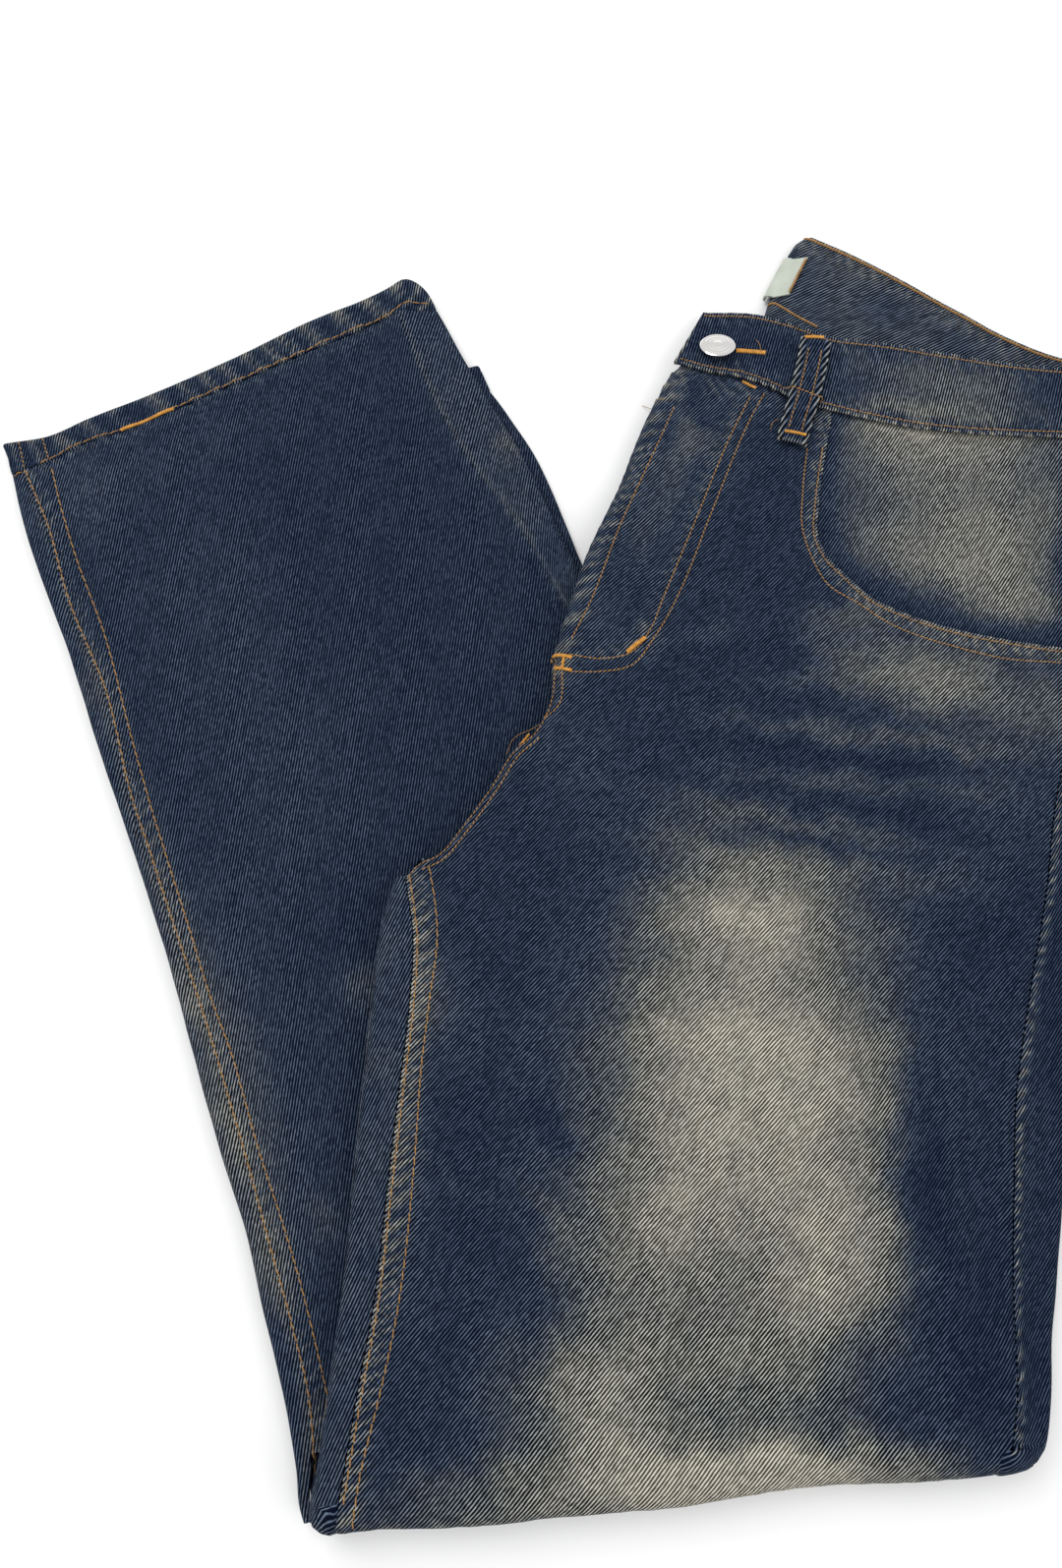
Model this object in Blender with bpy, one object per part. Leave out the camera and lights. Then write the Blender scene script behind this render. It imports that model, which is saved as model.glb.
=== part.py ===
"""Baggy denim jeans, folded in half lengthwise with both legs folded under at the knee.

The sizes below are in millimetres on the table: X to the right, Y towards the waist, Z up.
From top to table the thigh holds the left front, left back, right back and right front.
Below the knee fold the order is turned over, so the right front lies on top there.
"""

import math

import bmesh
import bpy
import numpy as np
from mathutils.geometry import delaunay_2d_cdt

MM = 0.001
TABLE_CENTRE = (-4.25, 0.35)    # the middle of the outline, which becomes the origin

# Cloth
WALL = 1.2                    # one layer of denim
BAND_WALL = 1.8               # the two layers of a waistband
HEM_WALL = 1.7                # a turned-up hem
LABEL_WALL = 0.8
GAP = 0.4                     # between pieces that lie on each other

# Heights of the folded layers
RIGHT_THIGH = 5.0             # the right leg's two layers, under the left leg's
LEFT_THIGH = 8.0              # the left leg's two layers, with their loft
LEFT_SHIN = 4.0               # the left leg's two layers below the knee, on the table
RIGHT_SHIN = 5.2              # the right leg's two layers below the knee
HEM_RAMP = 36.0               # how far the right leg takes to climb onto the left one
KNEE_RADIUS = 12.0            # how far the knee fold's rounding reaches in
KNEE_LOFT = 2.0
EDGE_RADIUS = 4.2             # the rounding of a folded side
CENTRE_RADIUS = 6.0           # the rounding of the centre front and crotch edge
SHIN_RADIUS = 2.6
TUCK = 12.0                   # how far the shin's pieces reach under the thigh
BED_REACH = 34.0              # how far the thigh bridges from the shin down to the table
HIDDEN_DEPTH = 3.4            # from the top of the cloth to the top of the hidden layers
FELL_WIDTH = 10.0
FELL_HEIGHT = 0.7

# The hem's middle, and the way from it to the knee
HEM_MIDDLE = np.array((-180.0, 222.0))
LEG_WAY = np.array((0.394, -0.919))
HEM_DEPTH = 13.5

# Lines on the table: columns x, y
WAIST_SEAM = [(46, 218), (62, 213), (78, 210), (91, 205), (104, 198), (127, 191),
              (165, 183), (202, 180), (240, 179), (263, 179)]
FLY_EDGE = [(46, 218), (34, 194), (18, 154), (2, 116), (-7, 88), (-12, 70)]
CROTCH_EDGE = [(-12, 70), (-15, 47), (-21, 36), (-30, 28), (-40, 12), (-52, -5),
               (-64, -19), (-71, -22), (-76, -28)]
INSEAM = [(-76, -28), (-72, -55), (-73, -82), (-77, -120), (-81, -160), (-85, -200),
          (-91, -236), (-95, -262), (-97, -275)]
THIGH_EDGE = [(-81, -29), (-87, -50), (-89, -75), (-91, -100), (-94, -135), (-97, -175),
              (-100, -205), (-103, -232), (-107, -262), (-110, -276)]
KNEE_CORNER_LEFT = [(-110, -276), (-111, -285), (-107, -289), (-101, -290)]
KNEE_EDGE = [(-100.5, -290), (-88, -288.5), (-44, -287), (-14, -284), (35, -280), (79, -274),
             (128, -271), (150, -269.5), (163.5, -268)]
KNEE_CORNER_RIGHT = [(164, -268), (175, -267), (182, -263), (185, -254)]
SIDE_SEAM = [(244, 178), (240, 140), (232, 90), (222, 45), (211, 6), (204, -32), (191, -87),
             (184, -120), (180, -160), (176, -200), (171, -236), (168, -253)]
SIDE_EDGE = [(264, 178), (267, 140), (262, 95), (250, 50), (237, 8), (226, -32), (214, -90),
             (204, -148), (197, -194), (192, -220), (188, -242), (185, -254)]
POCKET_EDGE = [(120, 190), (117, 175), (112, 145), (111, 131), (115, 121), (123, 112),
               (133, 102), (148, 94), (171, 86), (194, 81), (219, 77), (229, 76)]
BAND_TOP = [(62, 249), (77, 248), (90, 246), (106, 241), (122, 234), (149, 229),
            (177, 224), (205, 219), (231, 216), (263, 214)]
BACK_BAND_TOP = [(114, 291), (124, 286), (138, 279), (152, 271), (171, 259), (190, 247),
                 (208, 236), (227, 227), (252, 220)]
BACK_BAND_FOLD = [(90, 241), (94, 254), (98, 265), (104, 279), (109, 287), (114, 291)]
HEM_EDGE = [(-273, 181), (-252, 185), (-236, 193), (-206, 206), (-165, 226), (-128, 246),
            (-101, 258), (-92, 263), (-84, 268), (-74, 262), (-69, 253)]
HEM_SEAM = [(-267, 166), (-251, 172), (-235, 181), (-218, 187), (-192, 199), (-163, 213),
            (-128, 230), (-100, 243), (-87, 250), (-78, 251), (-69, 250)]
SHIN_INSEAM = [(-263.5, 166), (-250, 139), (-237, 101), (-216, 55), (-203, 11), (-188, -28),
               (-175, -61), (-163, -93), (-146, -141), (-133, -181), (-122, -214),
               (-114, -243), (-112, -259), (-112.2, -272), (-112.8, -283)]
SHIN_EDGE = [(-269, 164.5), (-256, 127), (-233, 72), (-219, 34), (-198, -19), (-181, -64),
             (-167, -107), (-153, -148), (-142, -177), (-133, -210), (-126, -233),
             (-119.5, -259), (-117.2, -271), (-116.2, -283)]
SHIN_SIDE_SEAM = [(-86, 248), (-79, 227), (-63, 190), (-47, 164), (-29, 139), (-13, 110),
                  (2, 84)]
SHIN_SIDE_EDGE = [(-68, 248), (-54, 223), (-44, 205), (-28, 177), (-4, 125), (10, 96)]
LEFT_SHIN_EDGE = [(-229, 118), (-205, 40), (-171, -70), (-146, -150), (-125, -225), (-112, -280)]
LEFT_SHIN_SIDE = [(-38, 204), (-22, 179), (3, 119), (60, -8), (120, -140), (172, -250)]
LEFT_HEM = [(-239, 138), (-190, 160), (-140, 183), (-90, 206), (-60, 219), (-49, 222)]
BELT_LOOP = [(114, 229), (111, 215), (107, 200), (103, 187), (100, 176)]
LABEL_SIDE = [(104, 258), (109, 268), (114, 278)]
LABEL_FOLD = [(93, 258), (98, 268), (103.5, 278.5)]

BELT_LOOP_WIDTH = 12.0
BUTTON_PLACE = (67.0, 226.0)
BUTTON_TILT = 16.0            # degrees, as the band slopes down to its top edge
BAND_HEIGHT = 14.2            # of the front waistband's face, over four bands and the opening
BAND_DROPS = ((1.5, None, None), (3.5, 92, 150), (2.7, 60, 90))
BACK_BAND_HEIGHT = 6.4

# The largest soft folds: columns x1, y1, x2, y2, half width, height
THIGH_FOLDS = [
    (0, 20, -46, -95, 16, 1.8),
    (-40, -225, 110, -252, 20, -1.8),
    (60, 60, 190, 30, 22, 0.9),
    (20, 150, 60, 190, 14, 0.8),
]

# Where the left back goes round the knee fold's two corners: columns edge x, y,
# then the end of its rounding above x, y and below x, y, then the seam x, y
LEFT_TURN = [
    (-110.6, -282.0, -105.5, -276.0, -105.0, -275.6, -97.6, -275.4),
    (-109.0, -287.0, -103.6, -277.4, -104.2, -276.6, -97.8, -275.9),
    (-105.5, -289.6, -101.6, -278.4, -103.3, -277.4, -98.0, -276.4),
    (-101.8, -290.3, -99.4, -279.3, -102.3, -278.0, -98.2, -276.9),
]
RIGHT_TURN = [
    (184.0, -258.5, 179.5, -253.9, 179.5, -253.5, 168.6, -253.6),
    (180.5, -263.5, 176.0, -255.2, 176.0, -254.0, 168.5, -254.1),
    (175.5, -266.5, 172.6, -256.4, 172.0, -255.0, 168.3, -254.7),
    (170.0, -267.8, 169.8, -257.4, 168.8, -255.8, 168.1, -255.3),
    (164.8, -268.4, 167.6, -258.2, 166.0, -256.6, 167.9, -255.9),
]
SHIN_FOLDS = [
    (-170, -45, -90, -70, 26, 1.2),
    (-120, 170, -80, 40, 26, 0.8),
]

# Colours: red, green, blue
INDIGO = (0.045, 0.085, 0.16)
FADED = (0.24, 0.25, 0.25)
STEEL = (0.75, 0.74, 0.72)
CREAM = (0.62, 0.64, 0.58)


def clear_scene():
    for thing in list(bpy.data.objects):
        bpy.data.objects.remove(thing)


# ---------------------------------------------------------------- lines

def smooth_line(table, step):
    """The smooth line through a table's points, as evenly spaced points about step apart."""
    points = np.array(table, float)
    along = np.concatenate([[0], np.cumsum(np.linalg.norm(np.diff(points, axis=0), axis=1))])
    slope = np.gradient(points, along, axis=0)
    fine = np.linspace(0, along[-1], 30 * len(points))
    left = np.clip(np.searchsorted(along, fine, side="right") - 1, 0, len(along) - 2)
    span = (along[left + 1] - along[left])[:, None]
    t = (fine[:, None] - along[left][:, None]) / span
    curve = ((2 * t**3 - 3 * t**2 + 1) * points[left] + (t**3 - 2 * t**2 + t) * span * slope[left]
             + (3 * t**2 - 2 * t**3) * points[left + 1] + (t**3 - t**2) * span * slope[left + 1])
    return spaced(curve, max(2, round(along[-1] / step) + 1))


def spaced(line, count):
    """The same line as count evenly spaced points."""
    along = np.concatenate([[0], np.cumsum(np.linalg.norm(np.diff(line, axis=0), axis=1))])
    even = np.linspace(0, along[-1], count)
    return np.stack([np.interp(even, along, line[:, k]) for k in range(line.shape[1])], axis=1)


def joined(*lines):
    """Lines end to end, without the points that two of them share."""
    kept = [lines[0]]
    for line in lines[1:]:
        shared = np.linalg.norm(line[0] - kept[-1][-1]) < 0.5
        kept.append(line[1:] if shared else line)
    whole = np.concatenate(kept)
    return whole[:-1] if np.linalg.norm(whole[0] - whole[-1]) < 0.5 else whole


def inward(line, closed=False, calm=1):
    """Unit vectors to the left of the line's direction, evened out over calm neighbours."""
    ahead = np.roll(line, -1, axis=0) - np.roll(line, 1, axis=0)
    if not closed:
        ahead = np.gradient(line, axis=0)
    normal = np.stack([-ahead[:, 1], ahead[:, 0]], axis=1)
    normal /= np.linalg.norm(normal, axis=1)[:, None]
    total = normal.copy()
    for shift in range(1, calm):
        if closed:
            total += np.roll(normal, shift, axis=0) + np.roll(normal, -shift, axis=0)
        else:
            index = np.arange(len(line))
            total += normal[np.clip(index + shift, 0, len(line) - 1)]
            total += normal[np.clip(index - shift, 0, len(line) - 1)]
    return total / np.linalg.norm(total, axis=1)[:, None]


def moved_in(line, distance, calm=4):
    return line + inward(line, calm=calm) * distance


def distance_to(places, line):
    """How far each place is from the line, positive on the left of its direction."""
    start = line[:-1]
    run = line[1:] - start
    offset = places[:, None, :] - start[None]
    t = np.clip((offset * run).sum(2) / (run**2).sum(1), 0, 1)
    away = np.linalg.norm(offset - t[..., None] * run, axis=2)
    nearest = away.argmin(1)
    row = np.arange(len(places))
    side = run[nearest, 0] * offset[row, nearest, 1] - run[nearest, 1] * offset[row, nearest, 0]
    return away[row, nearest] * np.where(side >= 0, 1, -1)


def eased(t):
    t = np.clip(t, 0, 1)
    return t * t * (3 - 2 * t)


def rounded_drop(distance, radius, height):
    """How far a rounded edge has fallen at a distance in from it."""
    t = np.clip(np.abs(distance) / radius, 0, 1)
    return height * (1 - np.sqrt(1 - (1 - t) ** 2))


# ---------------------------------------------------------------- heights

SHIN_SIDE_LINE = smooth_line(LEFT_SHIN_SIDE, 8)
KNEE_LINE = joined(smooth_line(KNEE_CORNER_LEFT, 3), smooth_line(KNEE_EDGE, 8),
                   smooth_line(KNEE_CORNER_RIGHT, 3))
CENTRE_LINE = joined(smooth_line(FLY_EDGE, 8), smooth_line(CROTCH_EDGE, 6))
INSEAM_LINE = smooth_line(INSEAM, 8)
WAIST_LINE = smooth_line(WAIST_SEAM, 6)
BAND_TOP_LINE = smooth_line(BAND_TOP, 6)


def fold_height(places, table):
    """Soft ridges and troughs, each along a line, fading at its ends and sides."""
    total = np.zeros(len(places))
    for x1, y1, x2, y2, half_width, height in table:
        start = np.array((x1, y1), float)
        run = np.array((x2, y2), float) - start
        t = ((places - start) @ run) / (run @ run)
        away = np.linalg.norm(places - start - np.clip(t, 0, 1)[:, None] * run, axis=1)
        beyond = np.clip(np.maximum(-t, t - 1), 0, None)
        total += height * np.exp(-((away / half_width) ** 2)) * np.exp(-((beyond * 3) ** 2))
    return total


def down_leg(places):
    return (places - HEM_MIDDLE) @ LEG_WAY


def shin_floor(places):
    """Under the right leg below the knee: the table at its hem, then the left leg."""
    return (LEFT_SHIN + 0.3) * eased((down_leg(places) - 8) / HEM_RAMP)


def shin_top(places):
    return shin_floor(places) + RIGHT_SHIN + fold_height(places, SHIN_FOLDS)


def thigh_floor(places):
    """What the thigh and hip lie on: the shins, or the table beyond them."""
    inside = -distance_to(places, SHIN_SIDE_LINE)
    return (shin_top(places) + GAP) * eased(inside / BED_REACH + 1)


def thigh_top(places):
    knee = KNEE_LOFT * eased(1.3 - (places[:, 1] + 290) / 90)
    return thigh_floor(places) + RIGHT_THIGH + LEFT_THIGH + knee + fold_height(places, THIGH_FOLDS)


def fell_ridge(places):
    """The thicker band that the felled inseam makes along the inseam."""
    t = np.abs(distance_to(places, INSEAM_LINE)) / FELL_WIDTH
    return FELL_HEIGHT * eased((1.15 - t) * 5)


def front_surface(places):
    top = thigh_top(places)
    knee = rounded_drop(distance_to(places, KNEE_LINE), KNEE_RADIUS, top / 2)
    centre_height = (top - thigh_floor(places)) / 2
    centre = rounded_drop(distance_to(places, CENTRE_LINE), CENTRE_RADIUS, centre_height)
    return top + fell_ridge(places) - np.maximum(knee, centre)


def band_surface(places):
    """The front waistband, falling to its top edge and most of all at the centre front."""
    up = np.clip(distance_to(places, WAIST_LINE) / 36, 0, 1.1)
    height = np.full(len(places), BAND_HEIGHT)
    for drop, start, stop in BAND_DROPS:
        share = 1 if start is None else 1 - eased((places[:, 0] - start) / (stop - start))
        height -= drop * share * up
    return height


def back_band_surface(places):
    return np.full(len(places), BACK_BAND_HEIGHT)


def facing_surface(places):
    return thigh_top(places) - WALL - GAP


# ---------------------------------------------------------------- meshes

def grid_faces(rows, columns):
    faces = []
    for i in range(rows - 1):
        for j in range(columns - 1):
            corner = i * columns + j
            faces.append((corner, corner + 1, corner + columns + 1, corner + columns))
    return faces


def filled(outline, spacing, bands=()):
    """Triangles inside a closed outline. bands are (line, distances in from it) with extra points."""
    step = np.arange(0, 1)
    low = outline.min(0)
    high = outline.max(0)
    rows = np.arange(low[1], high[1], spacing * 0.87)
    inner = []
    for k, y in enumerate(rows):
        step = np.arange(low[0] + (k % 2) * spacing / 2, high[0], spacing)
        inner.append(np.stack([step, np.full(len(step), y)], axis=1))
    inner = np.concatenate(inner)
    loop = np.concatenate([outline, outline[:1]])
    inner = inner[distance_inside(inner, loop) > spacing * 0.45]
    for line, distances in bands:
        inner = inner[np.abs(distance_to(inner, line)) > distances[-1] + spacing * 0.4]
        for distance in distances:
            extra = moved_in(line, distance, calm=2)
            clear = np.abs(distance_to(extra, line)) > distance * 0.9
            extra = extra[clear]
            extra = extra[distance_inside(extra, loop) > min(distance * 0.8, 2.5)]
            inner = np.concatenate([inner, extra])
    places = [tuple(p) for p in np.concatenate([outline, inner])]
    found = delaunay_2d_cdt(places, [], [list(range(len(outline)))], 1, 1e-4)
    points = np.array([tuple(p) for p in found[0]])
    order = {}
    for index, sources in enumerate(found[3]):
        for source in sources:
            order[source] = index
    return points, [tuple(f) for f in found[2]], [order[k] for k in range(len(outline))]


def distance_inside(places, loop):
    """Distance to a closed loop, positive inside it."""
    x, y = places[:, 0][:, None], places[:, 1][:, None]
    x1, y1 = loop[:-1, 0], loop[:-1, 1]
    x2, y2 = loop[1:, 0], loop[1:, 1]
    spans = (y1 > y) != (y2 > y)
    with np.errstate(divide="ignore", invalid="ignore"):
        crossing = spans & (x < (x2 - x1) * (y - y1) / (y2 - y1) + x1)
    inside = crossing.sum(1) % 2 == 1
    return np.where(inside, 1, -1) * np.abs(distance_to(places, loop))


def thickened(points, faces, wall):
    """A closed wall below an open surface: the surface, its copy moved in, and the rim between."""
    points = np.asarray(points, float)
    normal = np.zeros_like(points)
    for face in faces:
        corner = points[list(face)]
        across = np.cross(corner[1] - corner[0], corner[2] - corner[0])
        if len(face) == 4:
            across += np.cross(corner[2] - corner[0], corner[3] - corner[0])
        for index in face:
            normal[index] += across
    normal /= np.linalg.norm(normal, axis=1)[:, None]
    count = len(points)
    sides = {}
    for face in faces:
        for a, b in zip(face, face[1:] + face[:1]):
            sides[(a, b)] = sides.get((a, b), 0) + 1
    rim = [(b, a, a + count, b + count) for (a, b) in sides if (b, a) not in sides]
    inner = [tuple(index + count for index in reversed(face)) for face in faces]
    return np.concatenate([points, points - normal * wall]), list(faces) + inner + rim


def sheet(outline, spacing, surface, wall, bands=(), skirt=None):
    """A cloth panel over a surface, with rows that go on round one edge where skirt gives them."""
    flat, faces, order = filled(outline, spacing, bands)
    points = np.column_stack([flat, surface(flat)])
    if skirt:
        first, last, rows_of = skirt
        edge = order[first:last + 1]
        rows = rows_of(points[edge])
        start = len(points)
        points = np.concatenate([points] + rows)
        width = len(edge)
        strips = [edge] + [list(range(start + k * width, start + (k + 1) * width))
                           for k in range(len(rows))]
        for upper, lower in zip(strips, strips[1:]):
            for j in range(width - 1):
                faces.append((upper[j], lower[j], lower[j + 1], upper[j + 1]))
    return thickened(points, faces, wall)


def round_under(inner_way, radius, low, reach, steps=6):
    """Rows for a skirt: from the edge's own height round to the height low, then back inwards."""
    def rows_of(edge):
        rows = []
        middle = edge[:, 2]
        for k in range(1, steps + 1):
            angle = math.pi / 2 * k / steps
            away = inner_way * radius * (1 - math.cos(angle))
            height = middle + (low - middle) * math.sin(angle)
            rows.append(np.column_stack([edge[:, :2] + away, height]))
        rows.append(np.column_stack([edge[:, :2] + inner_way * (radius + reach), rows[-1][:, 2]]))
        return rows
    return rows_of


def folded_side(seam, edge, inner, high, low, wall, reach=0.0, start=90.0, end=-90.0,
                steps=6, inner_low=None, seam_high=None):
    """Cloth from a seam on top, round a folded edge and back underneath."""
    count = len(edge)
    high, low, reach = (np.broadcast_to(v, count).astype(float) for v in (high, low, reach))
    inner_low = inner if inner_low is None else inner_low
    middle = (high + low) / 2
    columns = []
    if seam is not None:
        columns.append(np.column_stack([seam, high if seam_high is None else seam_high]))
    for k in range(steps + 1):
        angle = math.radians(start + (end - start) * k / steps)
        target = inner if angle > 0 else inner_low
        place = edge + (target - edge) * (1 - math.cos(angle))
        columns.append(np.column_stack([place, middle + (high - low) / 2 * math.sin(angle)]))
    way = inner_low - edge
    way = way / np.linalg.norm(way, axis=1)[:, None]
    if reach.max() > 0:
        columns.append(np.column_stack([inner_low + way * reach[:, None], low]))
    points = np.stack(columns, axis=1).reshape(-1, 3)
    faces = grid_faces(count, len(columns))
    return thickened(points, outward(points, faces, way, count, len(columns)), wall)


def outward(points, faces, way, rows, columns):
    """The grid's faces turned so that they look away from the cloth's inner side."""
    grid = points.reshape(rows, columns, 3)
    middle = columns // 2
    row = rows // 2
    across = np.cross(grid[row + 1, middle] - grid[row, middle],
                      grid[row, middle + 1] - grid[row, middle])
    if across[:2] @ way[row] < 0:
        return [tuple(reversed(face)) for face in faces]
    return faces


def hem_band(edge, seam, low, high, wall):
    """A hem as a flattened ring of cloth round the open end of a leg."""
    count = len(edge)
    turn = 5
    profile = []
    for k in range(count):
        profile.append((k, 1.0))
    for k in range(1, turn):
        profile.append((count - 1, math.cos(math.pi * k / turn)))
    for k in range(count - 1, -1, -1):
        profile.append((k, -1.0))
    for k in range(1, turn):
        profile.append((0, -math.cos(math.pi * k / turn)))
    tip_way = [edge[0] - edge[1], edge[-1] - edge[-2]]
    points = []
    for k, level in profile:
        half = (high[k] - low[k]) / 2
        bulge = math.sqrt(max(0.0, 1 - level * level))
        tip = tip_way[0] if k == 0 else tip_way[1]
        push = tip / np.linalg.norm(tip) * half * bulge
        inner_push = push * (half - wall) / half
        middle = (high[k] + low[k]) / 2
        outer = middle + half * level
        inner = middle + (half - wall) * level
        points += [(*(edge[k] + push), outer), (*(seam[k] + push), outer),
                   (*(seam[k] + inner_push), inner), (*(edge[k] + inner_push), inner)]
    rings = len(profile)
    faces = []
    for i in range(rings):
        here = i * 4
        there = ((i + 1) % rings) * 4
        for j in range(4):
            k = (j + 1) % 4
            faces.append((here + j, here + k, there + k, there + j))
    return np.array(points), faces


def slab(outline, profile, spacing, top, calm):
    """A solid of hidden layers: rings up its side, a flat underside and a shaped top."""
    way = inward(outline, closed=True, calm=calm)
    count = len(outline)
    rings = [np.column_stack([outline + way * inset[:, None], height])
             for inset, height in profile]
    points = np.concatenate(rings)
    faces = []
    for k in range(len(rings) - 1):
        for i in range(count):
            j = (i + 1) % count
            faces.append((k * count + i, k * count + j, (k + 1) * count + j, (k + 1) * count + i))
    for ring, level, rising in ((0, None, False), (len(rings) - 1, top, True)):
        loop = rings[ring][:, :2]
        flat, cap, order = filled(loop, spacing if rising else 10000.0)
        height = top(flat) if rising else np.zeros(len(flat))
        place = {order[i]: ring * count + i for i in range(count)}
        fresh = [i for i in range(len(flat)) if i not in place]
        for new, i in enumerate(fresh):
            place[i] = len(points) + new
        points = np.concatenate([points, np.column_stack([flat, height])[fresh]])
        faces += [tuple(place[i] for i in face) for face in cap]
    return points, faces


def add_piece(name, shape, material):
    """One named object from points in table millimetres."""
    points, faces = shape
    placed = (np.asarray(points) - (*TABLE_CENTRE, 0)) * MM
    mesh = bpy.data.meshes.new(name)
    mesh.from_pydata([tuple(p) for p in placed], [], [tuple(int(i) for i in f) for f in faces])
    build = bmesh.new()
    build.from_mesh(mesh)
    bmesh.ops.recalc_face_normals(build, faces=build.faces)
    build.to_mesh(mesh)
    build.free()
    mesh.shade_smooth()
    mesh.set_sharp_from_angle(angle=math.radians(50))
    mesh.materials.append(material)
    piece = bpy.data.objects.new(name, mesh)
    bpy.context.scene.collection.objects.link(piece)
    return piece


def finish(name, colour, roughness, metallic=0.0):
    material = bpy.data.materials.new(name)
    material.use_nodes = True
    shader = material.node_tree.nodes["Principled BSDF"]
    shader.inputs["Base Color"].default_value = (*colour, 1)
    shader.inputs["Roughness"].default_value = roughness
    shader.inputs["Metallic"].default_value = metallic
    return material


# ---------------------------------------------------------------- the left leg, on top

def left_front():
    """From the waist seam to the knee fold, and round it to the table."""
    waist = WAIST_LINE[WAIST_LINE[:, 0] < 119.5]
    pocket = smooth_line(POCKET_EDGE, 10)
    pocket = pocket[pocket[:, 1] < 190.5]
    side = smooth_line([p for p in SIDE_SEAM if p[1] < 60], 16)
    side = np.concatenate([[(229.0, 75.0)], side])
    knee = smooth_line(KNEE_EDGE, 10)
    inseam = smooth_line(INSEAM, 13)
    centre = joined(smooth_line(FLY_EDGE, 10), smooth_line(CROTCH_EDGE, 8))
    outline = joined(centre, inseam, knee, side[::-1], pocket[::-1], waist[::-1])
    first = int(np.argmin(np.linalg.norm(outline - knee[0], axis=1)))
    last = first + len(knee) - 1
    way = inward(outline[first:last + 1], calm=2)
    bands = ((knee, (0.9, 3.5, 7.4, 12.3)), (centre[:-2], (0.5, 1.9, 3.7, 6.2)))
    skirt = (first, last, round_under(way, KNEE_RADIUS, 0.0, 12.0, steps=5))
    return sheet(outline, 22, front_surface, WALL, bands, skirt)


def round_corner(seam, edge, inner, corner):
    """The lines of a folded side, with the rows of a corner's table after them."""
    rows = np.array(corner)
    ramp = np.concatenate([eased((np.arange(len(edge)) - len(edge) + 2) / 3), np.ones(len(rows))])
    lower = np.concatenate([inner, rows[:, 4:6]])
    return (np.concatenate([seam, rows[:, 6:8]]), np.concatenate([edge, rows[:, 0:2]]),
            np.concatenate([inner, rows[:, 2:4]]), lower, ramp)


def left_back_side():
    """The left back, from the side seam round the outer fold and round the knee's corner."""
    count = 27
    seam = spaced(smooth_line(SIDE_SEAM, 5), count)
    seam[:, 0] += 0.5
    edge = spaced(smooth_line(SIDE_EDGE, 5), count)
    inner = moved_in(edge, -EDGE_RADIUS)
    seam, edge, inner, lower, ramp = round_corner(seam, edge, inner, RIGHT_TURN)
    high = thigh_top(inner) - 0.1
    low = (thigh_floor(edge) + RIGHT_THIGH + 0.3) * (1 - ramp)
    level = thigh_top(seam) - 0.1
    return folded_side(seam, edge, inner, high, low, WALL, inner_low=lower, seam_high=level)


def left_back_inseam():
    """The left back, rolled out beside the inseam and round the knee's other corner."""
    count = 22
    seam = spaced(smooth_line(INSEAM, 5), count)
    seam[:, 0] -= 0.5
    edge = spaced(smooth_line(THIGH_EDGE, 5), count)
    width = np.linalg.norm(seam - edge, axis=1)
    inner = edge + (seam - edge) / width[:, None] * np.minimum(EDGE_RADIUS, width * 0.7)[:, None]
    seam, edge, inner, lower, ramp = round_corner(seam, edge, inner, LEFT_TURN)
    high = thigh_top(inner) - 0.1
    low = (thigh_floor(edge) + RIGHT_THIGH + 0.3) * (1 - ramp)
    level = thigh_top(seam) - 0.1
    return folded_side(seam, edge, inner, high, low, WALL, inner_low=lower, seam_high=level)


def right_front_edge():
    """The right front, where it wraps under the centre front and crotch edge."""
    edge = spaced(CENTRE_LINE, 32)[:-1]
    shape = (edge, moved_in(edge, CENTRE_RADIUS), thigh_top(edge), thigh_floor(edge))
    return folded_side(None, *shape, WALL, reach=5.0, start=-12.0, steps=4)


def right_back_inseam():
    """The right back, which shows as a strip under the left leg's inseam."""
    edge = smooth_line([(-88, -55), (-91, -80), (-93, -105), (-96, -140),
                        (-98, -175), (-100, -205), (-103, -232), (-105.5, -252)], 13)
    low = thigh_floor(edge) + 0.2
    shape = (moved_in(edge, 9), edge, moved_in(edge, 2.4), low + RIGHT_THIGH - 0.6, low)
    return folded_side(*shape, WALL, reach=5.0)


# ---------------------------------------------------------------- below the knee

def right_front_lower():
    """The right front below the knee, from the hem to where the thigh covers it."""
    hem = moved_in(smooth_line(HEM_SEAM, 9), -0.9)
    hem = hem[(hem[:, 0] > -262.0) & (hem[:, 0] < -87.5)]
    inseam = smooth_line(SHIN_INSEAM, 4)[::3]
    inseam = inseam[inseam[:, 1] > -263] + (0.4, 0)
    side = smooth_line(SHIN_SIDE_SEAM, 14)
    covered = joined(smooth_line(FLY_EDGE[3:], 10), smooth_line(CROTCH_EDGE, 10),
                     smooth_line(THIGH_EDGE[1:], 12))
    covered = moved_in(covered, TUCK, calm=3)
    covered = covered[(covered[:, 1] < 72) & (covered[:, 1] > -262)]
    outline = joined(inseam, covered[::-1], side[::-1], hem[::-1])
    return sheet(outline, 22, shin_top, WALL)


def shin_reach(edge):
    """How far the right back goes on underneath: to the middle at the hem, then a little."""
    way = down_leg(edge)
    return 5.0 - 4.2 * eased((way - 425) / 25) + 88.0 * (1 - eased((way - 36) / 8))


def right_back_lower_inseam():
    count = 30
    seam = spaced(smooth_line(SHIN_INSEAM, 5), count)
    seam[:, 0] -= 0.5
    edge = spaced(smooth_line(SHIN_EDGE, 5), count)
    shape = (seam, edge, moved_in(edge, SHIN_RADIUS), shin_top(edge) - 0.2, shin_floor(edge))
    return folded_side(*shape, WALL, reach=shin_reach(edge))


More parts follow.
